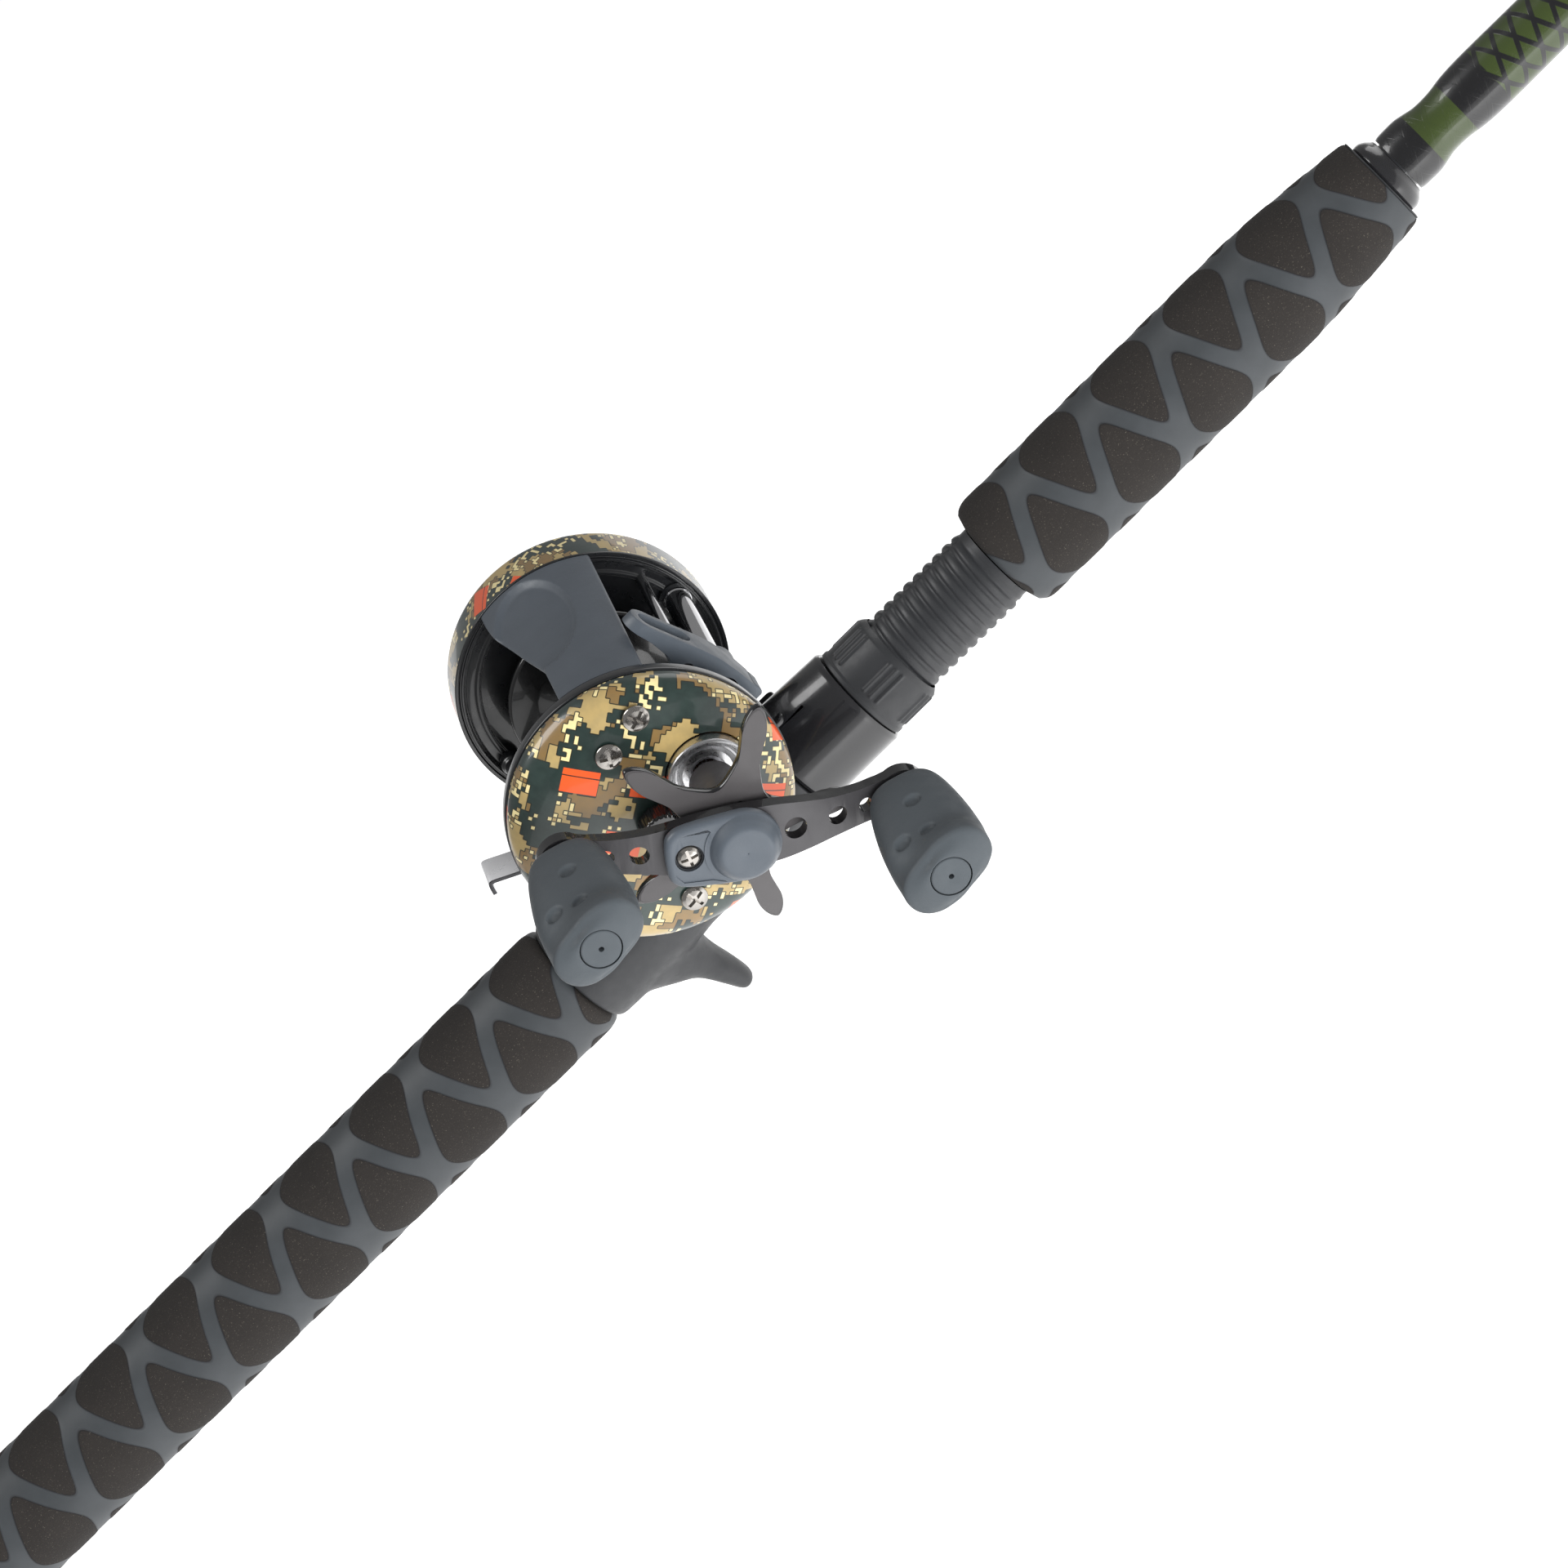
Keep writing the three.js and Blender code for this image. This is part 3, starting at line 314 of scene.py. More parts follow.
def camo_class(n, cell):
    """The camouflage's colour number for a cell: 0 green, 1 tan, 2 brown, 3 pale."""
    big = n.noise(0.085, 1.4, cell, 0.6)
    fine = n.noise(0.42, 1, n.vector("ADD", cell, (31, 17, 5)))
    field = n.math("ADD", big, n.math("MULTIPLY", n.math("SUBTRACT", fine, 0.5), 0.22))
    blotch = n.math("GREATER_THAN", field, 0.506)
    inner = n.vector("ADD", cell, (-57, 43, 9))
    second = n.noise(0.11, 1.2, inner, 0.6)
    brown = n.math("MULTIPLY", blotch, n.math("GREATER_THAN", second, 0.515))
    dice = n.add("ShaderNodeTexWhiteNoise", {"Vector": cell}, noise_dimensions="3D").outputs["Value"]
    dotty = n.vector("ADD", cell, (11, -83, 21))
    zone = n.math("GREATER_THAN", n.noise(0.13, 1, dotty), 0.53)
    dots = n.math("MULTIPLY", zone, n.math("GREATER_THAN", dice, 0.66))
    number = n.math("ADD", blotch, brown)
    number = n.math("MAXIMUM", number, n.math("MULTIPLY", dots, 3))
    return number


def camo_orange(n, flat):
    """1 inside the camouflage's orange blocks, which lie scattered, one to a big square."""
    square = 15.0
    cell = n.vector("SNAP", flat, (square,) * 3)
    middle = n.vector("ADD", cell, (square / 2, square / 2, 0))
    throw = n.add("ShaderNodeTexWhiteNoise", {"Vector": cell}, noise_dimensions="3D")
    shift = n.add("ShaderNodeVectorMath", {0: throw.outputs["Color"], 1: (7, 7, 0), 2: (-3.5, -3.5, 0)},
                  operation="MULTIPLY_ADD")
    spot = n.vector("ADD", middle, shift.outputs[0])
    spot = n.vector("SNAP", spot, (CAMO_PIXEL,) * 3)
    away = n.add("ShaderNodeSeparateXYZ", {0: n.vector("SUBTRACT", flat, spot)})
    wide = n.math("LESS_THAN", n.math("ABSOLUTE", away.outputs[0]), 2.7)
    tall = n.math("LESS_THAN", n.math("ABSOLUTE", away.outputs[1]), 4.0)
    split = n.math("GREATER_THAN", n.math("ABSOLUTE", n.math("SUBTRACT", away.outputs[0], 1.1)), 0.14)
    chosen = n.math("GREATER_THAN", throw.outputs["Value"], 0.45)
    inside = n.math("MULTIPLY", n.math("MULTIPLY", wide, tall), chosen)
    return inside, n.math("MULTIPLY", inside, n.math("SUBTRACT", 1, split))


def camo_paint():
    """A generic pixel camouflage film under clear gloss. The UV map is in tens of millimetres."""
    n = Nodes("camo_paint")
    uv = n.add("ShaderNodeTexCoord").outputs["UV"]
    turned_uv = n.add("ShaderNodeVectorRotate", {"Vector": uv, "Angle": CAMO_TURN},
                      rotation_type="Z_AXIS").outputs[0]
    flat = n.add("ShaderNodeVectorMath", {0: turned_uv, "Scale": 10.0}, operation="SCALE").outputs[0]
    pixel = (CAMO_PIXEL,) * 3
    corner = n.vector("SNAP", flat, pixel)
    here = n.vector("ADD", corner, (CAMO_PIXEL / 2,) * 3)
    within = n.add("ShaderNodeSeparateXYZ", {0: n.vector("SUBTRACT", flat, here)})
    own = camo_class(n, here)
    lines = 0.0
    for axis in (0, 1):
        side = n.math("MULTIPLY", n.math("SIGN", within.outputs[axis]), CAMO_PIXEL)
        towards = [0.0, 0.0, 0.0]
        towards[axis] = side
        step = n.add("ShaderNodeCombineXYZ", dict(enumerate(towards))).outputs[0]
        there = n.vector("ADD", here, step)
        differs = n.math("GREATER_THAN", n.math("ABSOLUTE", n.math("SUBTRACT", own, camo_class(n, there))),
                         0.5)
        near = n.math("GREATER_THAN", n.math("ABSOLUTE", within.outputs[axis]), CAMO_PIXEL * 0.5 - 0.13)
        lines = n.math("MAXIMUM", lines, n.math("MULTIPLY", differs, near))
    ramp = n.add("ShaderNodeValToRGB", {"Fac": n.math("DIVIDE", own, 4)})
    ramp.color_ramp.interpolation = "CONSTANT"
    stops = [(0.0, 0x1D2A27), (0.2, 0xA38D5C), (0.45, 0x785F38), (0.7, 0xDCCB94)]
    while len(ramp.color_ramp.elements) < len(stops):
        ramp.color_ramp.elements.new(0.5)
    for element, (place, colour) in zip(ramp.color_ramp.elements, stops):
        element.position = place
        element.color = linear(colour)
    film = n.mix(n.math("MULTIPLY", lines, 0.92), ramp.outputs["Color"], linear(0x141511))
    cloud = n.step(n.noise(0.5, 3), 0.3, 0.7, 0, 0.3)
    film = n.mix(cloud, film, n.mix(0.5, film, linear(0x3A4A45)))
    block, split = camo_orange(n, flat)
    film = n.mix(block, film, linear(0xD2501F))
    film = n.mix(split, film, linear(0x43271B))
    n.bump(n.noise(0.6, 2), 0.01)
    return n.finish(film, 0.36, 0.0, coat=0.55, coat_roughness=0.08)


WRAP_STARTS = 4  # threads running each way round the rod
WRAP_PITCH = 5.2
WRAP_CROSS_FROM = 233.0 + REEL_X
WRAP_BAND = (213.6 + REEL_X, 223.4 + REEL_X)


def olive_wrap():
    """Thread under clear epoxy: a green band, black bands, then green crossed by dark threads. The UV map is
    the turn round the rod and the distance along it in millimetres."""
    n = Nodes("olive_wrap")
    uv = n.add("ShaderNodeSeparateXYZ", {0: n.add("ShaderNodeTexCoord").outputs["UV"]})
    turn, along = uv.outputs[0], uv.outputs[1]
    around = n.math("MULTIPLY", turn, WRAP_STARTS)
    down = n.math("DIVIDE", along, WRAP_PITCH)
    crossing = 0.0
    for operation in ("ADD", "SUBTRACT"):
        place = n.math("FRACT", n.math("ADD", n.math(operation, around, down), 500.0))
        off = n.math("ABSOLUTE", n.math("SUBTRACT", place, 0.5))
        crossing = n.math("MAXIMUM", crossing, n.step(off, 0.1, 0.13, 1, 0))
    start = n.math("SUBTRACT", WRAP_CROSS_FROM, n.math("MULTIPLY", crossing, 1.2))
    beyond = n.math("GREATER_THAN", along, start)
    in_band = n.math("MULTIPLY", n.math("GREATER_THAN", along, WRAP_BAND[0]),
                     n.math("LESS_THAN", along, WRAP_BAND[1]))
    green = n.math("MAXIMUM", in_band, n.math("MULTIPLY", beyond, n.math("SUBTRACT", 1.0, crossing)))
    thread = n.math("ABSOLUTE", n.math("SUBTRACT", n.math("FRACT", n.math("MULTIPLY", along, 3.4)), 0.5))
    shade = n.mix(n.math("MULTIPLY", thread, 0.7), linear(0x2F3B16), linear(0x222C12))
    dark = n.mix(n.math("MULTIPLY", thread, 0.7), linear(0x101012), linear(0x09090B))
    n.bump(n.math("ADD", thread, n.math("MULTIPLY", crossing, 1.5)), 0.03)
    colour = n.mix(green, dark, shade)
    return n.finish(colour, 0.3, coat=0.6, coat_roughness=0.05)


def blank_gloss():
    """Clear-coated graphite: a faint cross-hatch of fibre under the gloss."""
    n = Nodes("blank_gloss")
    drawn = n.vector("MULTIPLY", n.place(), (0.08, 1, 1))
    fibre = n.noise(1.6, 4, drawn, 0.6)
    shade = n.mix(fibre, linear(0x17181A), linear(0x2B2D30))
    n.bump(n.noise(0.2, 2), 0.01)
    return n.finish(shade, 0.35, coat=1.0, coat_roughness=0.04)


MATERIALS = {
    "grip_foam": grip_foam(),
    "camo_paint": camo_paint(),
    "olive_wrap": olive_wrap(),
    "blank": blank_gloss(),
    "rubber": mottled("rubber", 0x222326, 0.62, grain=1.6, depth=0.05),
    "seat_nylon": mottled("seat_nylon", 0x27282A, 0.48, grain=1.8, depth=0.025),
    "gloss_black": mottled("gloss_black", 0x1D1D1F, 0.22, coat=0.5, depth=0.008),
    "guide_metal": mottled("guide_metal", 0x1B1B1D, 0.25, metallic=0.2, coat=0.6, depth=0.01),
    "guide_ceramic": mottled("guide_ceramic", 0x2E2E31, 0.12, coat=0.5, depth=0.004),
    "black_metal": mottled("black_metal", 0x141517, 0.3, coat=0.4, grain=0.5, depth=0.02),
    "soft_grey": mottled("soft_grey", 0x474D54, 0.45, grain=2.0, depth=0.02),
    "knob_rubber": mottled("knob_rubber", 0x43484C, 0.6, grain=2.4, depth=0.03, spread=0.06, specular=0.35),
    "satin_grey": mottled("satin_grey", 0x403F41, 0.36, metallic=0.2, grain=1.2, depth=0.012),
    "star_black": mottled("star_black", 0x454344, 0.42, grain=1.4, depth=0.006, spread=0.05),
    "edge_black": mottled("edge_black", 0x0E0E10, 0.2, coat=0.6, depth=0.004),
    "screw_steel": mottled("screw_steel", 0xA9A5A0, 0.2, metallic=0.95, depth=0.003, spread=0.05),
    "spool_black": mottled("spool_black", 0x0C0D0E, 0.22, coat=0.6, depth=0.006),
    "chrome": brushed("chrome", 0xDCDCDE, 0.1, depth=0.002),
    "bright_plate": mottled("bright_plate", 0xDEDEE0, 0.3, metallic=0.35, depth=0.002),
    "sheared_edge": mottled("sheared_edge", 0x3A3A3C, 0.3, metallic=0.8),
    "steel": brushed("steel", 0xB0B0B3, 0.28),
    "aluminium": brushed("aluminium", 0xE0E0E2, 0.3, stretch=(0.3, 3, 0.3), depth=0.006),
    "brass": brushed("brass", 0xB8924E, 0.3),
    "drag_fibre": mottled("drag_fibre", 0x6B5136, 0.7, grain=1.5, depth=0.05),
}


# ------------------------------------------------------------------ mesh building
def at(origin, angle=0.0):
    """Local axes at a place: X turned by an angle in degrees from +X towards +Z, Y along the reel's axis."""
    a = math.radians(angle)
    axes = Matrix(((math.cos(a), 0, math.sin(a)), (0, 1, 0), (-math.sin(a), 0, math.cos(a)))).transposed()
    return Matrix.Translation(origin) @ axes.to_4x4()


ROD = Matrix.Identity(4)
REEL = at(SPOOL)
DRIVE_AXES = at(DRIVE)
CRANK = at(DRIVE, HANDLE_ANGLE)


def build(name, verts, faces, axes=ROD, uvs=None):
    """A mesh object from points in millimetres in some local axes, with its faces turned outwards."""
    mesh = bpy.data.meshes.new(name)
    mesh.from_pydata([(axes @ Vector(v)) * MM for v in verts], [], faces)
    if uvs is not None:
        layer = mesh.uv_layers.new(name="surface")
        layer.data.foreach_set("uv", np.asarray(uvs, np.float32).ravel())
    obj = bpy.data.objects.new(name, mesh)
    bpy.context.scene.collection.objects.link(obj)
    work = bmesh.new()
    work.from_mesh(mesh)
    bmesh.ops.remove_doubles(work, verts=work.verts, dist=1e-7)
    bmesh.ops.recalc_face_normals(work, faces=work.faces)
    work.to_mesh(mesh)
    work.free()
    return obj


def softened(outline, radius, steps=3, closed=True):
    """The outline with each corner replaced by a small curve that starts a radius away from it."""
    points = [np.array(p, float) for p in outline]
    made = []
    for i, corner in enumerate(points):
        if not closed and i in (0, len(points) - 1):
            made.append(corner)
            continue
        before, after = points[i - 1] - corner, points[(i + 1) % len(points)] - corner
        reach = [min(radius, 0.45 * np.linalg.norm(v)) / max(np.linalg.norm(v), 1e-9) for v in (before,
                after)]
        a, b = corner + before * reach[0], corner + after * reach[1]
        for k in range(steps + 1):
            t = k / steps
            made.append((1 - t) ** 2 * a + 2 * t * (1 - t) * corner + t * t * b)
    return [tuple(p) for p in made]


def turned(name, outline, axis="y", axes=ROD, sides=96, soften=0.0, uv=None, steps=3):
    """Turns a closed outline of (along, radius) points about the X or Y axis. uv gives the map from
    (angle in turns, index into the outline)."""
    if soften:
        outline = softened(outline, soften, steps)
    count = len(outline)
    verts = []
    for k in range(sides):
        angle = 2 * math.pi * k / sides
        for along, radius in outline:
            u, v = radius * math.cos(angle), radius * math.sin(angle)
            verts.append((along, -u, v) if axis == "x" else (u, along, v))
    faces, uvs = [], []
    for k in range(sides):
        for i in range(count):
            j = (i + 1) % count
            if outline[i][1] < 1e-6 and outline[j][1] < 1e-6:
                continue
            here, there = k * count, (k + 1) % sides * count
            faces.append((here + i, here + j, there + j, there + i))
            if uv:
                uvs += [uv(k / sides, i), uv(k / sides, i + 1), uv((k + 1) / sides, i + 1),
                        uv((k + 1) / sides, i)]
    return build(name, verts, faces, axes, uvs or None)


def tube(name, rings, axes=ROD, uvs=None, closed=False):
    """Skins rings of points. closed joins the last ring to the first, and otherwise the ends are capped."""
    count, sides = len(rings), len(rings[0])
    verts = [p for ring in rings for p in ring]
    faces, corners = [], []
    for i in range(count if closed else count - 1):
        j = (i + 1) % count
        for k in range(sides):
            m = (k + 1) % sides
            faces.append((i * sides + k, i * sides + m, j * sides + m, j * sides + k))
            if uvs is not None:
                corners += [uvs[i][k], uvs[i][k + 1], uvs[i + 1][k + 1], uvs[i + 1][k]]
    if not closed:
        faces += [tuple(range(sides)), tuple((count - 1) * sides + k for k in range(sides))]
        corners += [(0, 0)] * (2 * sides) if uvs is not None else []
    return build(name, verts, faces, axes, corners or None)


def bore_rings(radius, end, start, sides):
    """The two end rings of a round bore along the rod."""
    turns = [2 * math.pi * k / sides for k in range(sides)]
    return [[(x, -radius * math.cos(a), radius * math.sin(a)) for a in turns] for x in (end, start)]


def heading(line, i):
    """The unit direction of a line of points at one of them."""
    run = np.array(line[min(i + 1, len(line) - 1)]) - np.array(line[max(i - 1, 0)])
    return run / np.linalg.norm(run)


def prism(name, outline, start, end, plane="xz", axes=ROD):
    """Extrudes an outline drawn in a plane along that plane's normal."""
    put = {
        "xz": lambda p, d: (p[0], d, p[1]),
        "yz": lambda p, d: (d, p[0], p[1]),
        "xy": lambda p, d: (p[0], p[1], d),
    }[plane]
    return tube(name, [[put(p, d) for p in outline] for d in (start, end)], axes)


def rod_between(name, x, z, start, end, radius, axes=REEL, sides=32):
    ring = [(x + radius * math.cos(a), z + radius * math.sin(a)) for a in np.linspace(0, 2 * math.pi, sides,
            False)]
    return prism(name, ring, start, end, axes=axes)


def circle(x, z, radius, start=0.0, end=360.0, steps=32):
    """Points along an arc, in degrees."""
    return [(x + radius * math.cos(math.radians(a)), z + radius * math.sin(math.radians(a)))
            for a in np.linspace(start, end, steps, endpoint=abs(end - start) < 360)]


def settle(obj):
    """Applies the object's modifiers to its mesh."""
    graph = bpy.context.evaluated_depsgraph_get()
    mesh = bpy.data.meshes.new_from_object(obj.evaluated_get(graph))
    obj.modifiers.clear()
    old = obj.data
    obj.data = mesh
    bpy.data.meshes.remove(old)
    return obj


def carve(obj, *others, operation="DIFFERENCE"):
    for other in others:
        modifier = obj.modifiers.new("carve", "BOOLEAN")
        modifier.operation = operation
        modifier.solver = "EXACT"
        modifier.object = other
        settle(obj)
        bpy.data.objects.remove(other)
    return obj


def fuse(obj, *others):
    return carve(obj, *others, operation="UNION")


def round_edges(obj, width, segments=3, angle=32):
    modifier = obj.modifiers.new("round", "BEVEL")
    modifier.width = width * MM
    modifier.segments = segments
    modifier.limit_method = "ANGLE"
    modifier.angle_limit = math.radians(angle)
    modifier.miter_outer = "MITER_ARC"
    return settle(obj)


def remeshed(obj, voxel, smooth=6, factor=0.6):
    """Melts joined bodies into one skin with soft fillets."""
    remesh = obj.modifiers.new("remesh", "REMESH")
    remesh.mode = "VOXEL"
    remesh.voxel_size = voxel * MM
    settle(obj)
    relax = obj.modifiers.new("relax", "SMOOTH")
    relax.iterations = smooth
    relax.factor = factor
    return settle(obj)


def finish(obj, body, material, *nodes, sharp=38, slot=None):
    """Shades a piece, gives it its material, and hangs it on its body in place of the nodes it stands for."""
    obj.data.materials.clear()
    obj.data.materials.append(MATERIALS[material])
    obj.data.polygons.foreach_set("use_smooth", [True] * len(obj.data.polygons))
    if sharp:
        obj.data.set_sharp_from_angle(angle=math.radians(sharp))
    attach(obj, body)
    if nodes:
        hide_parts(*nodes)
    return obj



def paint_edges(obj, material):
    """Gives the edges of a plate that lies across the Y axis a second finish."""
    obj.data.materials.append(MATERIALS[material])
    for face in obj.data.polygons:
        if abs(face.normal.y) < 0.7:
            face.material_index = 1


def between_points(a, b, c, d, f):
    """A Catmull-Rom curve's point a share f of the way from b to c."""
    square = (2 * a - 5 * b + 4 * c - d) * f**2
    cube = (3 * b - a - 3 * c + d) * f**3
    return 0.5 * (2 * b + (c - a) * f + square + cube)


def smooth_curve(points, count):
    """Points spread along a Catmull-Rom curve through the given ones."""
    pts = [np.array(p, float) for p in points]
    pts = [2 * pts[0] - pts[1], *pts, 2 * pts[-1] - pts[-2]]
    made = []
    for t in np.linspace(0, len(points) - 1 - 1e-9, count):
        i, f = int(t), t - int(t)
        a, b, c, d = pts[i:i + 4]
        made.append(between_points(a, b, c, d, f))
    return made


def profile_value(points, where):
    """Reads a smooth curve through (place, value) points at some place."""
    places = [p[0] for p in points]
    i = int(np.clip(np.searchsorted(places, where) - 1, 0, len(points) - 2))
    p = [points[max(i - 1, 0)], points[i], points[i + 1], points[min(i + 2, len(points) - 1)]]
    slope = [(p[2][1] - p[0][1]) / max(p[2][0] - p[0][0], 1e-9),
             (p[3][1] - p[1][1]) / max(p[3][0] - p[1][0], 1e-9)]
    width = p[2][0] - p[1][0]
    t = float(np.clip((where - p[1][0]) / width, 0, 1))
    h = [2 * t**3 - 3 * t**2 + 1, t**3 - 2 * t**2 + t, -2 * t**3 + 3 * t**2, t**3 - t**2]
    return h[0] * p[1][1] + h[1] * width * slope[0] + h[2] * p[2][1] + h[3] * width * slope[1]


# ------------------------------------------------------------------ rod: grips and wraps
GRIP_COLUMN = 75.4  # where one row of pads is centred, in degrees from the handle's side towards the reel
PAD_RISE = 0.14


def grip(name, body_node, profile, first_pad, pitch, step=0.7, sides=200):
    """A grip turned to a profile, with its foam pads standing a little proud of the bands between them."""
    start, end = profile[0][0], profile[-1][0]
    stations = np.arange(start, end, step).tolist() + [end]
    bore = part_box("blank")[1].z / MM + 0.3
    rings, maps = [], []

    def cells(turn, x):
        around = (turn * 360 - GRIP_COLUMN) / 180
        return around + (x - first_pad) / pitch, around - (x - first_pad) / pitch

    for x in stations:
        base = profile_value(profile, x)
        ring, row = [], []
        for k in range(sides + 1):
            turn = k / sides
            s, t = cells(turn, x)
            inside = sum((abs((c + 0.5) % 1 - 0.5) / PAD_HALF) ** PAD_POWER for c in (s, t))
            rise = PAD_RISE * float(np.clip((1.25 - inside) / 0.55, 0, 1)) - PAD_RISE
            angle = 2 * math.pi * turn
            radius = base + rise
            row.append((s, t))
            if k < sides:
                ring.append((x, -radius * math.cos(angle), radius * math.sin(angle)))
        rings.append(ring)
        maps.append(row)
    rings += bore_rings(bore, end, start, sides)
    maps += [maps[-1], maps[0], maps[0]]
    piece = tube(name, rings, uvs=maps, closed=True)
    finish(piece, "rod", "grip_foam", body_node, sharp=50)


GRIP_R = 14.4
SEAT_BACK, BARREL_END = along_rod("reel_seat")
FOREGRIP_START, FOREGRIP_END = along_rod("foregrip")


def make_grips():
    start, end = along_rod("rear_grip")
    rear = [(start, GRIP_R - 1.2), (start + 0.7, GRIP_R - 0.4), (start + 2, GRIP_R), (end - 6, GRIP_R),
            (end - 2.5, GRIP_R - 0.15), (end - 0.9, GRIP_R - 0.7), (end, GRIP_R - 2.2)]
    grip("rear_grip_sleeve", "rear_grip", rear, REEL_X - 123.3, 22.8)
    front = FOREGRIP_START
    taper = REEL_X + 171
    fore = [(front, GRIP_R - 3.6), (front + 0.4, GRIP_R - 1.9), (front + 1.4, GRIP_R - 0.8),
            (front + 3.4, GRIP_R - 0.1),
            (front + 6, GRIP_R), (taper - 4, GRIP_R), (taper + 4, GRIP_R - 0.35),
            (FOREGRIP_END - 14, GRIP_R - 1.35),
            (FOREGRIP_END - 1, 11.7), (FOREGRIP_END, 11.2)]
    grip("foregrip_sleeve", "foregrip", fore, REEL_X + 176.9, 21.8)


def make_butt():
    outline = [(0, 0), (0, 10.6), (0.5, 12), (1.6, 13.6), (3.6, 14.9), (6, 15.2), (17, 15.2), (18.6, 15),
               (20, 14.2),
               (20, 6.4), (3.7, 6.4), (3.7, 0)]
    cap = turned("butt_cap_moulding", outline, "x", sides=96, soften=0.5)
    finish(cap, "rod", "rubber", "butt_cap")
    for i in range(4):
        x = 7.5 + i * 2.4
        band = turned(f"butt_cap_rib_{i + 1}",
                      [(x - 0.6, 15), (x - 0.35, 15.42), (x + 0.35, 15.42), (x + 0.6, 15)],
                      "x", sides=96, soften=0.15)
        finish(band, "rod", "rubber")


def make_winding_check():
    start = FOREGRIP_END
    outline = [(start + 0.3, 6.05), (start + 0.3, 8.9), (start + 1.0, 9.3), (start + 2.2, 9.25),
               (start + 3.4, 8.6),
               (start + 4.1, 7.9), (start + 4.5, 7.5), (start + 4.9, 7.3), (start + 4.9, 6.05)]
    check = turned("winding_check_ring", outline, "x", sides=96, soften=0.5)
    finish(check, "rod", "gloss_black", "winding_check")
    lip = [(start + 0.05, 9), (start + 0.05, 11.1), (start + 0.35, 11.2), (start + 0.5, 10.9),
           (start + 0.35, 9)]
    finish(turned("foregrip_trim", lip, "x", sides=96, soften=0.15), "rod", "rubber")


def make_butt_wrap():
    local = [(206.3, 7.15), (207.2, 7.38), (209, 7.45), (212, 7.42), (214.5, 6.95), (216.6, 6.5),
             (219.5, 6.42),
             (222, 6.6), (224.5, 7.0), (228, 7.3), (233, 7.4), (245, 7.35), (318, 6.9), (324, 6.6),
             (328, 6.2), (330, 6.05)]
    outside = [(x, profile_value(local, x)) for x in np.arange(206.3, 330, 0.8)]
    outline = [(x + REEL_X, r) for x, r in outside] + [(REEL_X + 330, 5.95), (REEL_X + 206.3, 5.95)]

    def uv(turn, i):
        return turn, outline[i % len(outline)][0]

    wrap = turned("butt_wrap_threads", outline, "x", sides=96, uv=uv)
    finish(wrap, "rod", "olive_wrap", "butt_wrap", sharp=50)


BLANK_LENGTH = 2134


def blank_radius(x):
    """The blank's outer radius at a distance from the butt."""
    fore, tip = 5.95, 1.2
    if x < FOREGRIP_END:
        return 6.1 - 0.15 * x / FOREGRIP_END
    return fore + (tip - fore) * (x - FOREGRIP_END) / (BLANK_LENGTH - FOREGRIP_END)


def make_blank():
    places = [4, 300, FOREGRIP_END, 800, 1200, 1600, 2000, 2126]
    outside = [(x, blank_radius(x)) for x in places]
    inside = [(x, max(blank_radius(x) - 1, 0.6)) for x in reversed(places)]
    finish(turned("blank_tube", outside + inside, "x", sides=64), "rod", "blank", "blank")


# ------------------------------------------------------------------ rod: reel seat
def ellipse_ring(centre, along, across, half_along, half_across, power=0.85, sides=48):
    """A rounded ring of points in the plane of two directions."""
    ring = []
    for k in range(sides):
        a = 2 * math.pi * k / sides
        c, s = math.cos(a), math.sin(a)
        u = math.copysign(abs(c) ** power, c) * half_along
        v = math.copysign(abs(s) ** power, s) * half_across
        ring.append(tuple(np.array(centre) + u * np.array(along) + v * np.array(across)))
    return ring


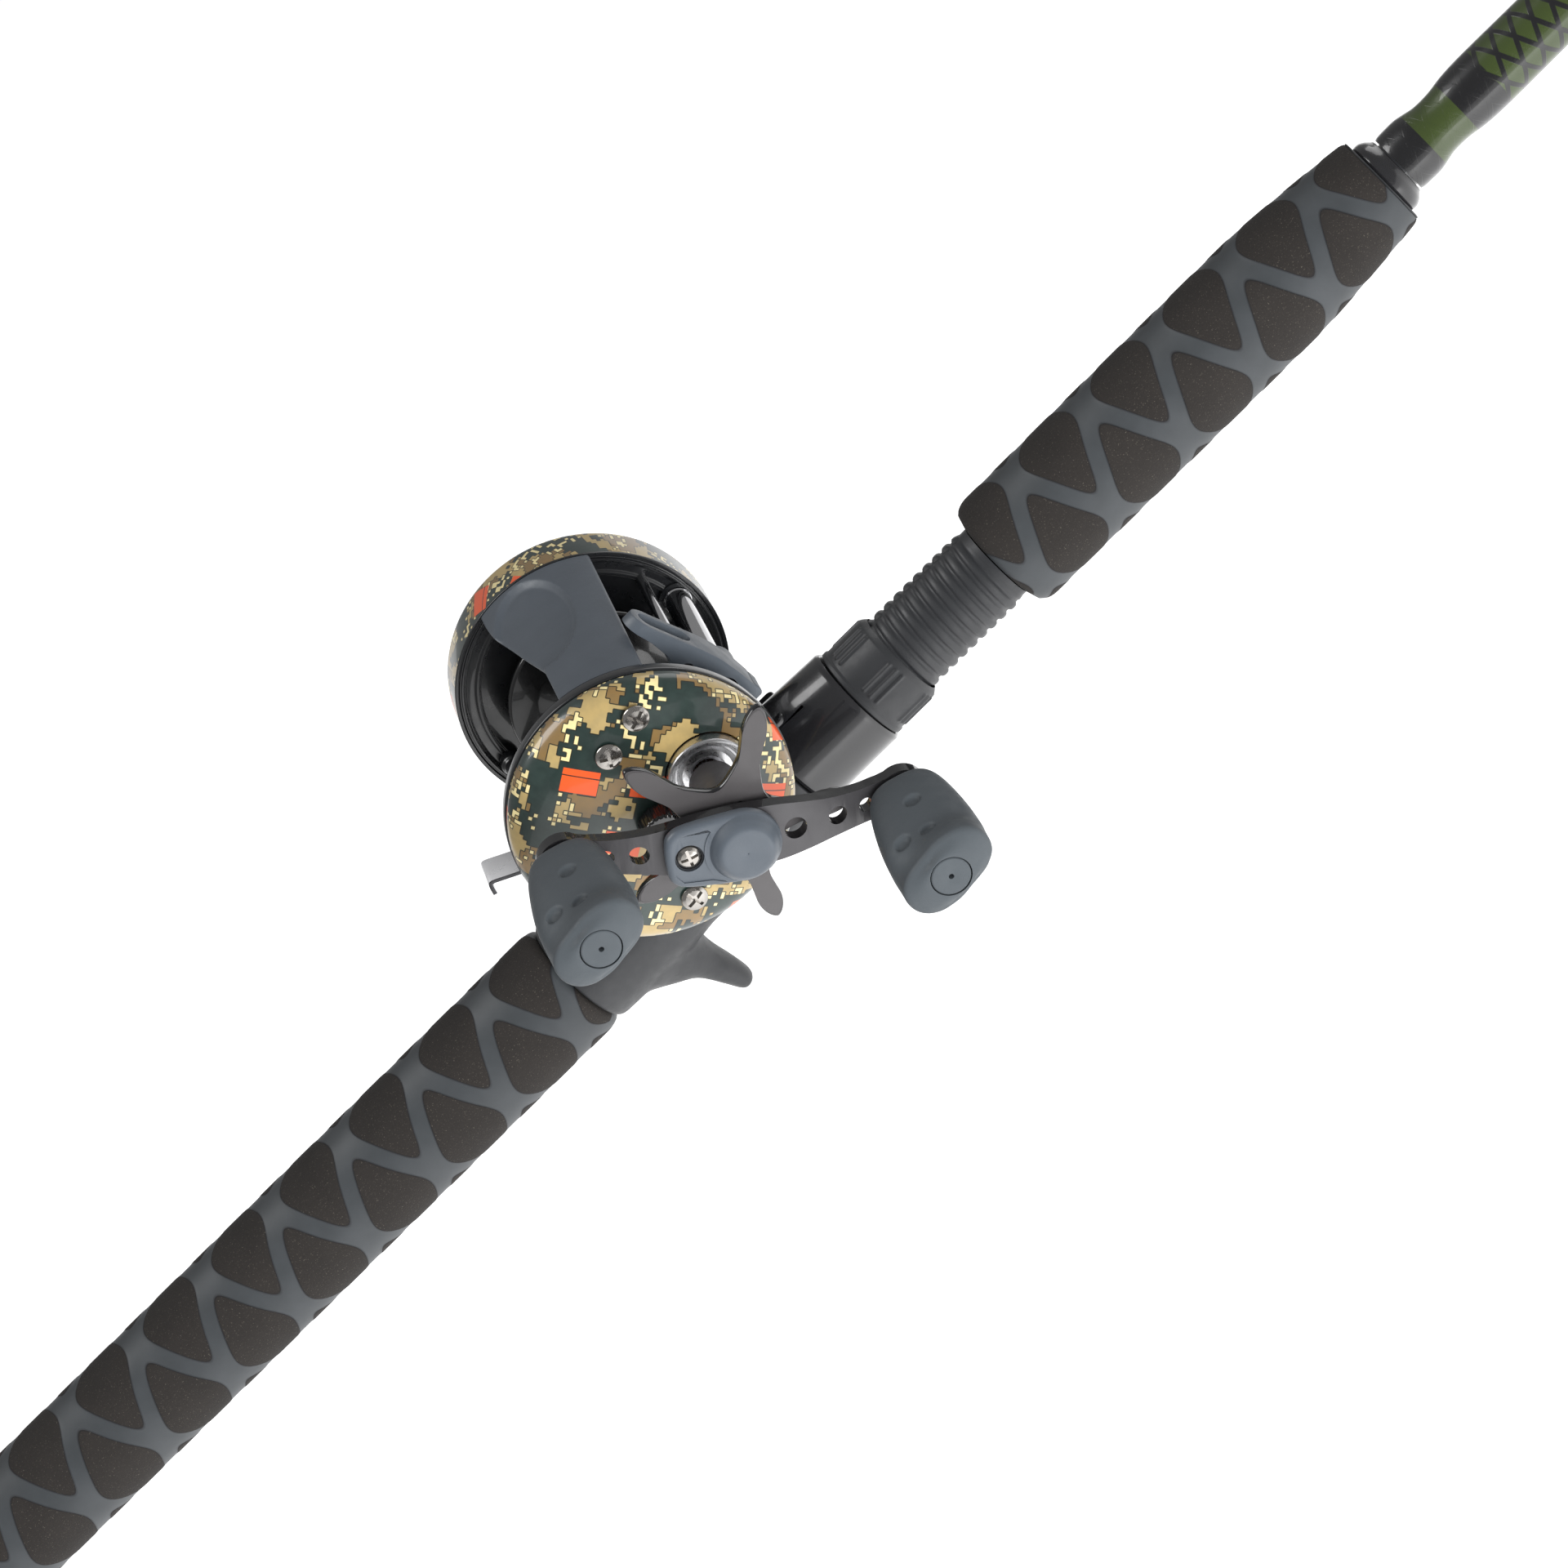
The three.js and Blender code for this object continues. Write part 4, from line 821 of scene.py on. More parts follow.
def make_seat():
    core = [(SEAT_BACK, 6.4), (SEAT_BACK, 13.2), (SEAT_BACK + 0.6, 13.8), (SEAT_BACK + 1.6, 14.2),
            (SEAT_BACK + 10, 14.35),
            (SEAT_BACK + 22, 14.3), (SEAT_BACK + 27, 13.8), (SEAT_BACK + 30, 13.4), (REEL_X + 20, 13.2),
            (REEL_X + 20, 6.4)]
    hood = turned("reel_seat_body", core, "x", sides=96)
    line = [(-31, -9), (-29.6, -14), (-27.9, -18.5), (-26.6, -23), (-25.5, -27.5), (-24.8, -31),
            (-24.5, -33)]
    lean = smooth_curve(line, 16)
    half_long = [(0, 13), (0.18, 8), (0.36, 4.6), (0.6, 3.3), (0.85, 2.4), (0.95, 1.9), (1, 1.1)]
    half_wide = [(0, 11), (0.18, 8.2), (0.4, 5.8), (0.65, 4.6), (0.85, 3.8), (0.95, 3.0), (1, 1.6)]
    rings = []
    for i, spot in enumerate(lean):
        t = i / (len(lean) - 1)
        run = heading(lean, i)
        side = (-run[1], 0, run[0])
        centre = (spot[0] + REEL_X, 0, spot[1])
        rings.append(ellipse_ring(centre, side, (0, 1, 0), profile_value(half_long, t),
                                  profile_value(half_wide, t), 0.95))
    trigger = tube("trigger", rings)
    fuse(hood, trigger)
    remeshed(hood, 0.55, smooth=14, factor=0.5)
    foot_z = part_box("reel_foot")[0].z / MM - 0.25
    saddle = prism("saddle_cut", [(REEL_X - 21, -20), (REEL_X + 33, -20), (REEL_X + 33, 20),
                                  (REEL_X - 21, 20)],
                   foot_z, 22, "xy")
    pocket = prism("pocket_cut", [(REEL_X - 32.5, -7.6), (REEL_X - 19, -7.6), (REEL_X - 19, 7.6),
                                  (REEL_X - 32.5, 7.6)],
                   foot_z, foot_z + 2.6, "xy")
    carve(hood, saddle, pocket)
    finish(hood, "rod", "seat_nylon", "reel_seat", sharp=35)
    ledge = [(REEL_X + 17.6, 12.6), (REEL_X + 17.6, 13.5), (REEL_X + 18.6, 13.75), (REEL_X + 19.8, 13.7),
             (REEL_X + 20, 13.4), (REEL_X + 20, 12.6)]
    band = turned("seat_ledge", ledge, "x", sides=96, soften=0.2)
    top = prism("ledge_cut", [(REEL_X + 10, -20), (REEL_X + 30, -20), (REEL_X + 30, 20), (REEL_X + 10, 20)],
                foot_z, 22, "xy")
    finish(carve(band, top), "rod", "seat_nylon")


THREAD_PITCH = 3.0
BARREL_CORE, THREAD_HEIGHT, BARREL_BORE = 9.62, 0.66, 6.5


def make_barrel():
    """The seat's threaded barrel: a rounded helical thread, broken by a keyway along its top."""
    start, end = REEL_X + 20.0, BARREL_END
    sides, step = 128, 0.25
    thread_from, thread_to = REEL_X + 43, end - 1.4
    rings = []
    for x in np.arange(start, end + 1e-6, step):
        ring = []
        for k in range(sides):
            turn = k / sides
            wave = ((x / THREAD_PITCH - turn) % 1) - 0.5
            crest = math.sqrt(max(0.0, 1 - (abs(wave) / 0.36) ** 2.4))
            ends = float(np.clip((x - thread_from) / 2, 0, 1) * np.clip((thread_to - x) / 2.4, 0, 1))
            key = abs((turn * 360 - 97 + 180) % 360 - 180)
            keep = float(np.clip((key - 4.5) / 1.6, 0, 1))
            radius = BARREL_CORE + THREAD_HEIGHT * crest * ends * keep
            angle = 2 * math.pi * turn
            ring.append((x, -radius * math.cos(angle), radius * math.sin(angle)))
        rings.append(ring)
    bore = bore_rings(BARREL_BORE, end, start, sides)
    finish(tube("seat_barrel", rings + bore, closed=True), "rod", "seat_nylon", sharp=60)


HOOD_R, HOOD_BORE = 12.75, 10.7


def make_hood():
    start, end = along_rod("sliding_hood")
    rings = []
    sides = 120
    for x in np.linspace(start, end, 30):
        t = (x - start) / (end - start)
        rise = 1.5 * (1 - t * 0.75)
        ring = []
        for k in range(sides):
            angle = 2 * math.pi * k / sides
            up = math.sin(angle)
            crown = rise * max(0.0, up) ** 3
            flat = 0.35 * max(0.0, math.cos(angle - math.radians(-22))) ** 10
            end_round = 0.5 * max(0, 1 - min(x - start, end - x) / 0.7) ** 2
            radius = HOOD_R + crown - flat - end_round
            ring.append((x, -radius * math.cos(angle), radius * math.sin(angle)))
        rings.append(ring)
    bore = bore_rings(HOOD_BORE, end, start, sides)
    hood = tube("sliding_hood_shell", rings + bore, closed=True)
    mouth = prism("hood_mouth", [(start - 1, -6.8), (start + 12.5, -6.8), (start + 12.5, 6.8),
                                 (start - 1, 6.8)],
                  5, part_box("reel_foot")[0].z / MM + 2.2, "xy")
    carve(hood, mouth)
    finish(hood, "sliding_hood", "gloss_black", "sliding_hood", sharp=42)
    # Two raised oblong keys on the top.
    for side in (-1, 1):
        where = 1.5 + side * 6.2
        outline = [(start + 0.6, where - 1.7),
                   *[(start + 6.2 + 1.7 * math.cos(a), where + 1.7 * math.sin(a))
                   for a in np.linspace(-math.pi / 2, math.pi / 2, 12)], (start + 0.6, where + 1.7)]
        z = HOOD_R * math.cos(math.asin(min(1, abs(where) / 13.6))) + 0.2
        key = prism(f"hood_key_{1 if side < 0 else 2}", outline, z - 1.2, z + 1.0, "xy")
        round_edges(key, 0.35)
        finish(key, "sliding_hood", "gloss_black")


NUT_R, NUT_BORE, RIB_HEIGHT = 11.72, 10.62, 0.42


def make_nut():
    start, end = along_rod("lock_nut")
    sides, groups = 360, 6
    rings = []
    for x in np.linspace(start, end, 60):
        ring = []
        along = x - start
        for k in range(sides):
            turn = k / sides
            place = (turn * groups) % 1 * (2 * math.pi * 12.1 / groups)  # millimetres round one group
            rib = sum(math.exp(-(((place - c) / 0.42) ** 4)) for c in (2.2, 4.2, 6.2))
            window = float(np.clip((along - 2.4) / 0.5, 0, 1) * np.clip((end - 1.5 - x) / 0.5, 0, 1))
            collar = 0.32 * float(np.clip((1.5 - along) / 0.25, 0, 1))
            chamfer = 1.15 * max(0.0, 1 - (end - x) / 1.5) ** 1.3
            edge = 0.25 * max(0.0, 1 - along / 0.3) ** 2
            radius = NUT_R + RIB_HEIGHT * rib * window + collar - chamfer - edge
            angle = 2 * math.pi * turn
            ring.append((x, -radius * math.cos(angle), radius * math.sin(angle)))
        rings.append(ring)
    bore = bore_rings(NUT_BORE, end, start, sides)
    finish(tube("lock_nut_ribbed", rings + bore, closed=True), "lock_nut", "seat_nylon", "lock_nut",
           sharp=60)


# ------------------------------------------------------------------ rod: guides
GUIDE_COUNT = 5


def swept(name, points, radius, flat=1.0, sides=20, count=24):
    """A wire along a curve of points in XZ or XYZ; flat squeezes its section across the rod."""
    line = [p if len(p) == 3 else (p[0], 0, p[1]) for p in points]
    line = smooth_curve(line, count)
    rings = []
    for i, spot in enumerate(line):
        run = heading(line, i)
        side = np.cross(run, (0, 1, 0))
        side = side / np.linalg.norm(side)
        wide = np.cross(side, run)
        rings.append([tuple(spot + side * radius * math.cos(a) + wide * radius * flat * math.sin(a))
                      for a in np.linspace(0, 2 * math.pi, sides, False)])
    return tube(name, rings)


def make_guides():
    for i in range(1, GUIDE_COUNT + 1):
        low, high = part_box(f"guide_{i}_ring")
        x = (low.x + high.x) / 2 / MM
        height = (low.z + high.z) / 2 / MM
        outer = (high.z - low.z) / 2 / MM
        bore = outer - 1.6
        ring_axes = Matrix.Translation((x, 0, height))
        insert = [(-1.2, outer), (1.2, outer), (1.25, bore + 0.7), (0.7, bore + 0.15), (0, bore),
                  (-0.7, bore + 0.15),
                  (-1.25, bore + 0.7)]
        finish(turned(f"guide_{i}_insert", insert, "x", ring_axes, 72, soften=0.3), "rod", "guide_ceramic",
               f"guide_{i}_ring")
        band = [(-1.0, outer + 0.1), (1.0, outer + 0.1), (1.0, outer + 1.1), (0.5, outer + 1.5),
                (-0.5, outer + 1.5),
                (-1.0, outer + 1.1)]
        frame_ring = turned(f"guide_{i}_wire", band, "x", ring_axes, 72, soften=0.3)
        foot_z = blank_radius(x) + 0.85
        reach = height * 0.75 + 6
        under = height - outer - 1.0
        wire = max(0.75, bore * 0.13)
        parts = []
        for side in (-1, 1):
            for spread in (-1, 1):
                y = spread * (outer + 0.8) * 0.72
                top = (x + side * 0.3, y, height - (outer + 0.8) * 0.7)
                path = [(x + side * (reach + 11.5), spread * 0.3, foot_z - 0.3),
                        (x + side * (reach + 3), spread * 0.7, foot_z),
                        (x + side * (reach - 1), spread * 1.2, foot_z + 0.8),
                        (x + side * reach * 0.45, y * 0.75, (foot_z + top[2]) / 2), top]
                parts.append(swept(f"guide_{i}_leg", path, wire, count=22, sides=14))
            pad = swept(f"guide_{i}_foot",
                        [(x + side * (reach + 12), foot_z - 0.45), (x + side * (reach + 6), foot_z - 0.1),
                                            (x + side * (reach - 1), foot_z + 0.1)], 0.55, flat=2.6,
                                            count=8)
            parts.append(pad)
        for part in parts:
            finish(part, "rod", "guide_metal")
        finish(frame_ring, "rod", "guide_metal", f"guide_{i}_frame")
        for side in (-1, 1):
            make_binding(f"guide_{i}_binding_{'rear' if side < 0 else 'front'}", x + side * (reach + 7.5),
                         8.5)


def make_binding(name, middle, half):
    """Thread wound over a guide's foot, swelling over it, with an olive trim band under the epoxy."""
    sides = 48
    rings, maps = [], []
    for x in np.linspace(middle - half, middle + half, 36):
        t = abs(x - middle) / half
        base = blank_radius(x) + 0.12 + 0.5 * (1 - t**3)
        ring, row = [], []
        for k in range(sides + 1):
            angle = 2 * math.pi * k / sides
            swell = 0.75 * (1 - t**2) * max(0.0, math.sin(angle)) ** 6
            row.append((k / sides, WRAP_BAND[0] + 1 if 0.78 < t < 0.93 else REEL_X + 207))
            if k < sides:
                r = base + swell
                ring.append((x, -r * math.cos(angle), r * math.sin(angle)))
        rings.append(ring)
        maps.append(row)
    inner = blank_radius(middle - half) + 0.02
    rings += bore_rings(inner, middle + half, middle - half, sides)
    maps += [maps[-1], maps[0], maps[0]]
    finish(tube(name, rings, uvs=maps, closed=True), "rod", "olive_wrap", sharp=60)


def make_tip():
    end = ROD_END + 8
    height, bore = 8.0, 3.3
    sleeve = [(end - 22, 1.45), (end - 22, 1.9), (end - 21, 2.15), (end - 8, 2.05), (end - 6.4, 1.8),
              (end - 6.2, 1.45)]
    finish(turned("tip_sleeve", sleeve, "x", sides=48, soften=0.2), "rod", "guide_metal", "tip_top")
    axes = Matrix.Translation((end - 1.2, 0, height))
    ring = [(-1.1, bore + 1.2), (1.1, bore + 1.2), (1.1, bore + 1.9), (0.4, bore + 2.2), (-0.4, bore + 2.2),
            (-1.1, bore + 1.9)]
    finish(turned("tip_ring", ring, "x", axes, 64, soften=0.3), "rod", "guide_metal")
    insert = [(-1.1, bore + 1.15), (1.1, bore + 1.15), (1.15, bore + 0.5), (0, bore), (-1.15, bore + 0.5)]
    finish(turned("tip_insert", insert, "x", axes, 64, soften=0.4), "rod", "guide_ceramic")
    for side in (-1, 1):
        path = [(end - 20, side * 1.5, 0.9), (end - 14, side * 1.8, 1.1), (end - 6, side * 3.3, 4.2),
                (end - 1.4, side * (bore + 1.6), height - 1)]
        finish(swept(f"tip_stay_{'a' if side < 0 else 'b'}", path, 0.62, count=20, sides=14), "rod",
               "guide_metal")
    strut = swept("tip_strut", [(end - 9, 2.3), (end - 5, 2.9), (end - 1.4, height - bore - 2)], 0.5,
                  flat=1.5, count=14)
    finish(strut, "rod", "guide_metal")


make_grips()
make_butt()
make_winding_check()
make_butt_wrap()
make_blank()
make_seat()
make_barrel()
make_hood()
make_nut()
make_guides()
make_tip()


# ------------------------------------------------------------------ reel: frame, covers and screws
RING_OUTER, RING_IN, RING_OUT = 31.5, 28.5, 31.4
WORM_AT = WORM - SPOOL
DRIVE_AT = DRIVE - SPOOL
ROD_AT = ((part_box("guide_rod")[0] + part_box("guide_rod")[1]) / 2) / MM - SPOOL


def make_frame():
    for side, name in ((-1, "handle_side"), (1, "palm_side")):
        edge = RING_OUTER if side < 0 else 30.6
        outline = [(side * RING_OUT, 4.5), (side * RING_OUT, edge),
                   (side * (RING_OUT - 0.55), edge + 0.12 * (side < 0)),
                   (side * RING_IN, edge), (side * RING_IN, 29.4), (side * (RING_IN + 0.5), 28.9),
                   (side * (RING_IN + 0.5), 27), (side * (RING_IN + 0.1), 26.6),
                   (side * (RING_IN + 0.1), 25.7),
                   (side * 30, 25.6), (side * 30, 4.5)]
        ring = turned(f"frame_plate_{name}", outline, "y", REEL, 160, soften=0.28)
        boss = rod_between("worm_boss", WORM_AT.x, WORM_AT.z, *sorted((side * 28.4, side * 31.2)), 4.3)
        hole = rod_between("worm_hole", WORM_AT.x, WORM_AT.z, -50, 50, 2.25)
        fuse(ring, boss)
        carve(ring, hole)
        if side < 0:
            slot = prism("lever_slot", [(-19.5, 2.6), (-13, 2.6), (-13, 8.6), (-19.5, 8.6)], -40, -20,
                         axes=REEL)
            carve(ring, slot, rod_between("drive_hole", DRIVE_AT.x, DRIVE_AT.z, -40, -20, 3.4))
        finish(ring, "rod", "black_metal", f"frame_ring_{name}")
        lip = [(side * (RING_IN - 0.02), 29.45), (side * (RING_IN - 0.02), 30.2),
               (side * (RING_IN - 0.45), 30.1),
               (side * (RING_IN - 0.45), 29.55)]
        finish(turned(f"frame_lip_{name}", lip, "y", REEL, 160, soften=0.12), "rod", "black_metal")
    for name in ("pillar_rear", "pillar_lower_rear", "pillar_lower_front"):
        low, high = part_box(name)
        middle = (low + high) / 2 / MM - SPOOL
        outline = [(-28.2, 0), (-28.2, 2.7), (-25.4, 2.7), (-24.6, 2.05), (24.6, 2.05), (25.4, 2.7),
                   (28.2, 2.7), (28.2, 0)]
        post = turned(f"{name}_post", outline, "y", at(SPOOL + Vector((middle.x, 0, middle.z))), 32,
                      soften=0.4)
        finish(post, "rod", "black_metal", name)
    foot = frame["nodes"]["reel_foot"]
    show_node(foot, "black_metal", 0.35)


def show_node(node, material, bevel=0.0):
    """Keeps a CAD node's own shape, with a better material and softened edges."""
    node.data.materials.clear()
    node.data.materials.append(MATERIALS[material])
    if bevel:
        modifier = node.modifiers.new("round", "BEVEL")
        modifier.width = bevel * MM
        modifier.segments = 2
        modifier.limit_method = "ANGLE"
        modifier.angle_limit = math.radians(35)


DOME = [(-31.75, 31.25), (-33.2, 31.3), (-34.6, 31.0), (-36, 30.2), (-37.3, 28.8), (-38.3, 26.8),
        (-39.1, 24), (-39.8, 20),
        (-40.4, 15), (-40.8, 9), (-41, 4)]
SCREW_PLACES = [((v[0] + v[1]) / 2 / MM - SPOOL) for v in (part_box(f"plate_screw_{i}") for i in (1, 2, 3))]
SCREW_FACE = -41.4


def unrolled(outline):
    """Distance along an outline from its last point, in tens of millimetres, for each point."""
    lengths = [0.0]
    for a, b in zip(outline[:0:-1], outline[-2::-1]):
        lengths.append(lengths[-1] + math.dist(a, b))
    return [(value + outline[-1][1]) / 10 for value in reversed(lengths)]


def film_map(outline, shift=0.0):
    """Spreads a flat film over a dome from its middle outwards."""
    reach = unrolled(outline)

    def uv(turn, i):
        r = reach[min(i, len(reach) - 1)]
        a = 2 * math.pi * turn
        return r * math.cos(a) + shift, r * math.sin(a) + shift

    return uv


def make_covers():
    outer = [tuple(p) for p in smooth_curve(DOME, 60)]
    inner = [(y + 0.9, max(r - 0.9, 4)) for y, r in reversed(outer)]
    inner = [(min(y, -31.75), r) for y, r in inner]
    shell = outer + inner
    flat = film_map(outer)
    cover = turned("handle_side_dome", shell, "y", REEL, 160, uv=lambda t,
                   i: flat(t, min(i, len(outer) - 1)))
    carve(cover, rod_between("collar_hole", DRIVE_AT.x, DRIVE_AT.z, -50, -30, 9.65, sides=64))
    for place in SCREW_PLACES:
        carve(cover, rod_between("screw_hole", place.x, place.z, -50, -32, 1.5))
    finish(cover, "rod", "camo_paint", "handle_side_cover", sharp=40)
    dome = [(28.9, 31.45), (38.4, 31.5), (39.6, 31.2), (40.8, 30.4), (41.8, 29), (42.6, 26.6), (43.2, 23),
            (43.8, 17),
            (44.2, 11), (44.5, 5), (44.6, 0.001)]
    outer = [dome[0]] + [tuple(p) for p in smooth_curve(dome[1:], 60)]
    inner = [(43.4, 0.001), (43.4, 5), (43, 10), (42, 22), (40.4, 27.5), (38.4, 29.6), (31.7, 29.8),
             (31.7, 30.8), (28.9, 30.8)]
    flat = film_map(outer, 6.0)
    cover = turned("palm_side_dome", outer + inner, "y", REEL, 160, uv=lambda t,
                   i: flat(t, min(i, len(outer) - 1)))
    carve(cover, prism("button_slot", [(-22, -6), (-18, -6), (-18, 6), (-22, 6)], 38, 48, axes=REEL))
    finish(cover, "rod", "camo_paint", "palm_side_cover", sharp=40)
    trim = turned("palm_side_trim", [(28.3, 30.65), (28.3, 31.5), (28.85, 31.6), (28.85, 30.65)], "y", REEL,
                  160, soften=0.15)
    finish(trim, "rod", "black_metal")
    for i, place in enumerate(SCREW_PLACES):
        make_screw(f"plate_screw_{i + 1}_head",
                   REEL @ Matrix.Translation((place.x, SCREW_FACE + 3.0, place.z)), "rod",
                   f"plate_screw_{i + 1}", 3.0, 18 + 40 * i)
    button = frame["nodes"]["clicker_button"]
    show_node(button, "soft_grey", 0.4)


def make_screw(name, axes, body, node, radius, turn=25):
    """A domed cross-head screw on the Y axis, its top at -3 mm."""
    top = -3.0
    outline = [(top, 0), (top + 0.05, radius * 0.35), (top + 0.25, radius * 0.7),
               (top + 0.65, radius * 0.95),
               (top + 1.0, radius), (top + 1.3, radius * 0.97), (top + 1.35, 1.2), (top + 4.5, 1.2),
               (top + 4.5, 0)]
    head = turned(name, outline, "y", axes, 48, soften=0.12)
    angle = math.radians(turn)
    for quarter in (0, math.pi / 2):
        c, s = math.cos(angle + quarter), math.sin(angle + quarter)
        long, thin = radius * 0.72, radius * 0.13
        corners = [(long * c - thin * s, long * s + thin * c), (-long * c - thin * s, -long * s + thin * c),
                   (-long * c + thin * s, -long * s - thin * c), (long * c + thin * s, long * s - thin * c)]
        carve(head, prism("slot", corners, top - 1, top + 0.95, axes=axes))
    finish(head, body, "screw_steel", node, sharp=32, slot="chrome")


def make_thumb_rest():
    """An arc over the spool, notched behind on the handle side, with a shallow hollow for the thumb."""
    front = math.radians(47.3)
    y_min, y_max = -28.15, 28.15

    def rear(y):
        """The rear edge's angle at a place across the plate."""
        edge = [(-20, 83.4), (-13.2, 83.9), (-8, 86.2), (0, 90.6), (8, 94.6), (15, 98), (22, 99.8),
                (28.2, 100.4)]
        if y < -12.6:
            return math.radians(83.2 + (y + 28.2) * 0.04)
        return math.radians(profile_value(edge, y))

    rows, columns = 90, 90
    top, bottom = [], []
    for y in np.linspace(y_min, y_max, rows):
        outer_row, inner_row = [], []
        last = rear(y)
        for k in range(columns):
            a = front + (last - front) * k / (columns - 1)
            arc = (math.degrees(a) - 80.8) / 18.7
            across = (y - 7) / 20
            dish = max(0.0, 1 - arc**2 - across**2)
            hollow = 0.9 * min(1.0, dish / 0.2) ** 0.8 + 0.9 * dish
            edge = min((a - front) * 31, (last - a) * 31)
            round_off = 0.35 * max(0.0, 1 - edge / 0.6) ** 2
            radius = 31.3 - hollow - round_off
            outer_row.append((radius * math.cos(a), y, radius * math.sin(a)))
            inner_row.append(((29.0 - hollow * 0.5) * math.cos(a), y, (29.0 - hollow * 0.5) * math.sin(a)))
        top.append(outer_row)
        bottom.append(inner_row[::-1])
    plate = tube("thumb_plate", [t + b for t, b in zip(top, bottom)], REEL)
    finish(plate, "rod", "soft_grey", "thumb_rest", sharp=24)


# ------------------------------------------------------------------ reel: spool and level wind
def make_spool():
    outline = [(-27.6, 8), (-27.6, 11), (-26.5, 11.4), (-22.6, 11.8), (-21.6, 12.6), (-21.6, 20),
               (-21.1, 20.9),
               (-20.2, 21), (-19.5, 20.6), (-18.6, 14.5), (-17.6, 10.4), (-15.5, 9.1), (-13, 8.9),
               (13, 8.9), (15.5, 9.1),
               (17.6, 10.4), (18.6, 14.5), (19.5, 20.6), (20.2, 21), (21.1, 20.9), (21.6, 20), (21.6, 12.6),
               (22.6, 11),
               (22.6, 2.3), (-22, 2.3), (-22, 8)]
    finish(turned("spool_body", outline, "y", REEL, 128, soften=0.35), "spool", "spool_black", "spool")
    for side in (-1, 1):
        for radius in (13.2, 16.4, 19.2):
            ridge = [(side * 21.55, radius - 0.35), (side * 21.95, radius - 0.2),
                     (side * 21.95, radius + 0.2),
                     (side * 21.55, radius + 0.35)]
            name = f"spool_ridge_{'a' if side < 0 else 'b'}_{int(radius)}"
            finish(turned(name, ridge, "y", REEL, 128, soften=0.1), "spool", "spool_black")


CARRIAGE_HALF = 4.0  # half the eye plate's width; its hub reaches further, on the palm side only


def make_level_wind():
    worm_axes = at(WORM)
    shell = [(-28.2, 2.1), (-28.2, 3.3), (-26.4, 3.3), (-26, 2.95), (27.7, 2.95), (27.9, 3.3), (28.2, 3.3),
             (28.2, 2.1)]
    cover = turned("worm_tube_shell", shell, "y", worm_axes, 64, soften=0.25)
    carve(cover, prism("tube_slot", [(-1, -5), (1, -5), (1, 0), (-1, 0)], -22, 22, axes=worm_axes))
    finish(cover, "rod", "chrome", "worm_tube")
    rod_axes = at(SPOOL + Vector((ROD_AT.x, 0, ROD_AT.z)))
    finish(turned("guide_rod_bar", [(-29.8, 0), (-29.8, 1.15), (-29.4, 1.25), (29.4, 1.25), (29.8, 1.15),
                                    (29.8, 0)],
                  "y", rod_axes, 40), "rod", "chrome", "guide_rod")
    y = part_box("line_carriage")[0].y / MM + CARRIAGE_HALF
    side = [(22.3, -3.4), (24.4, -5.8), (30.4, -7), (31.5, -5.4), (31.5, 0), (31.0, 5.6), (30.1, 9.6),
            (28.6, 14.6),
            (26.6, 21.6), (25.3, 26.9), (22.6, 26.9), (23.9, 20), (24.0, 14.5), (22.4, 12)]
    block = prism("carriage_block", softened(side, 0.9, 3), y - 4.1, y + 4.1, axes=REEL)
    eye_axes = Matrix.Translation(SPOOL)
    outer = [(y + 4.1 * math.cos(a), 22.4 + 4.1 * math.sin(a)) for a in np.linspace(0, math.pi, 28)]
    carve(block, prism("carriage_front", outer + [(y - 4.1, -9), (y + 4.1, -9)], 10, 40, "yz", eye_axes),
          operation="INTERSECT")
    round_edges(block, 0.45, 3, 40)
    hole = [(y + 2.5 * math.cos(a), 22.2 + 2.5 * math.sin(a)) for a in np.linspace(0, math.pi, 24)]
    hole += [(y + 2.5 * math.cos(a), 14.6 + 2.5 * math.sin(a)) for a in np.linspace(math.pi, 2 * math.pi,
            24)]
    carve(block, prism("eye_cut", hole, 10, 40, "yz", eye_axes))
    tube_axes = at(SPOOL + Vector((WORM_AT.x, 0, WORM_AT.z)))
    hub = [(y + 2, 3.3), (y + 2, 5.0), (y + 8.4, 5.0), (y + 9, 4.4), (y + 9, 3.3)]
    fuse(block, turned("carriage_hub", hub, "y", tube_axes, 64, soften=0.3))
    carve(block, rod_between("tube_cut", WORM_AT.x, WORM_AT.z, y - 20, y + 20, 3.25, sides=48))
    carve(block, rod_between("rod_cut", ROD_AT.x, ROD_AT.z, y - 20, y + 20, 1.6))
    cap = prism("pawl_cap", [(26.2, -8.2), (31.0, -8.2), (31.6, -7.4), (31.6, -4.8), (26.2, -4.2)], y - 3.2,
                y + 3.2, axes=REEL)
    fuse(block, round_edges(cap, 0.4))
    round_edges(block, 0.16, 2, 50)
    finish(block, "line_carriage", "soft_grey", "line_carriage")
    sleeve = [(-28.4, 2.96), (-28.4, 4.1), (-24.6, 3.7), (-24.2, 3.3), (-24.2, 2.96)]
    finish(turned("worm_sleeve_handle_side", sleeve, "y", worm_axes, 48, soften=0.2), "rod", "black_metal")


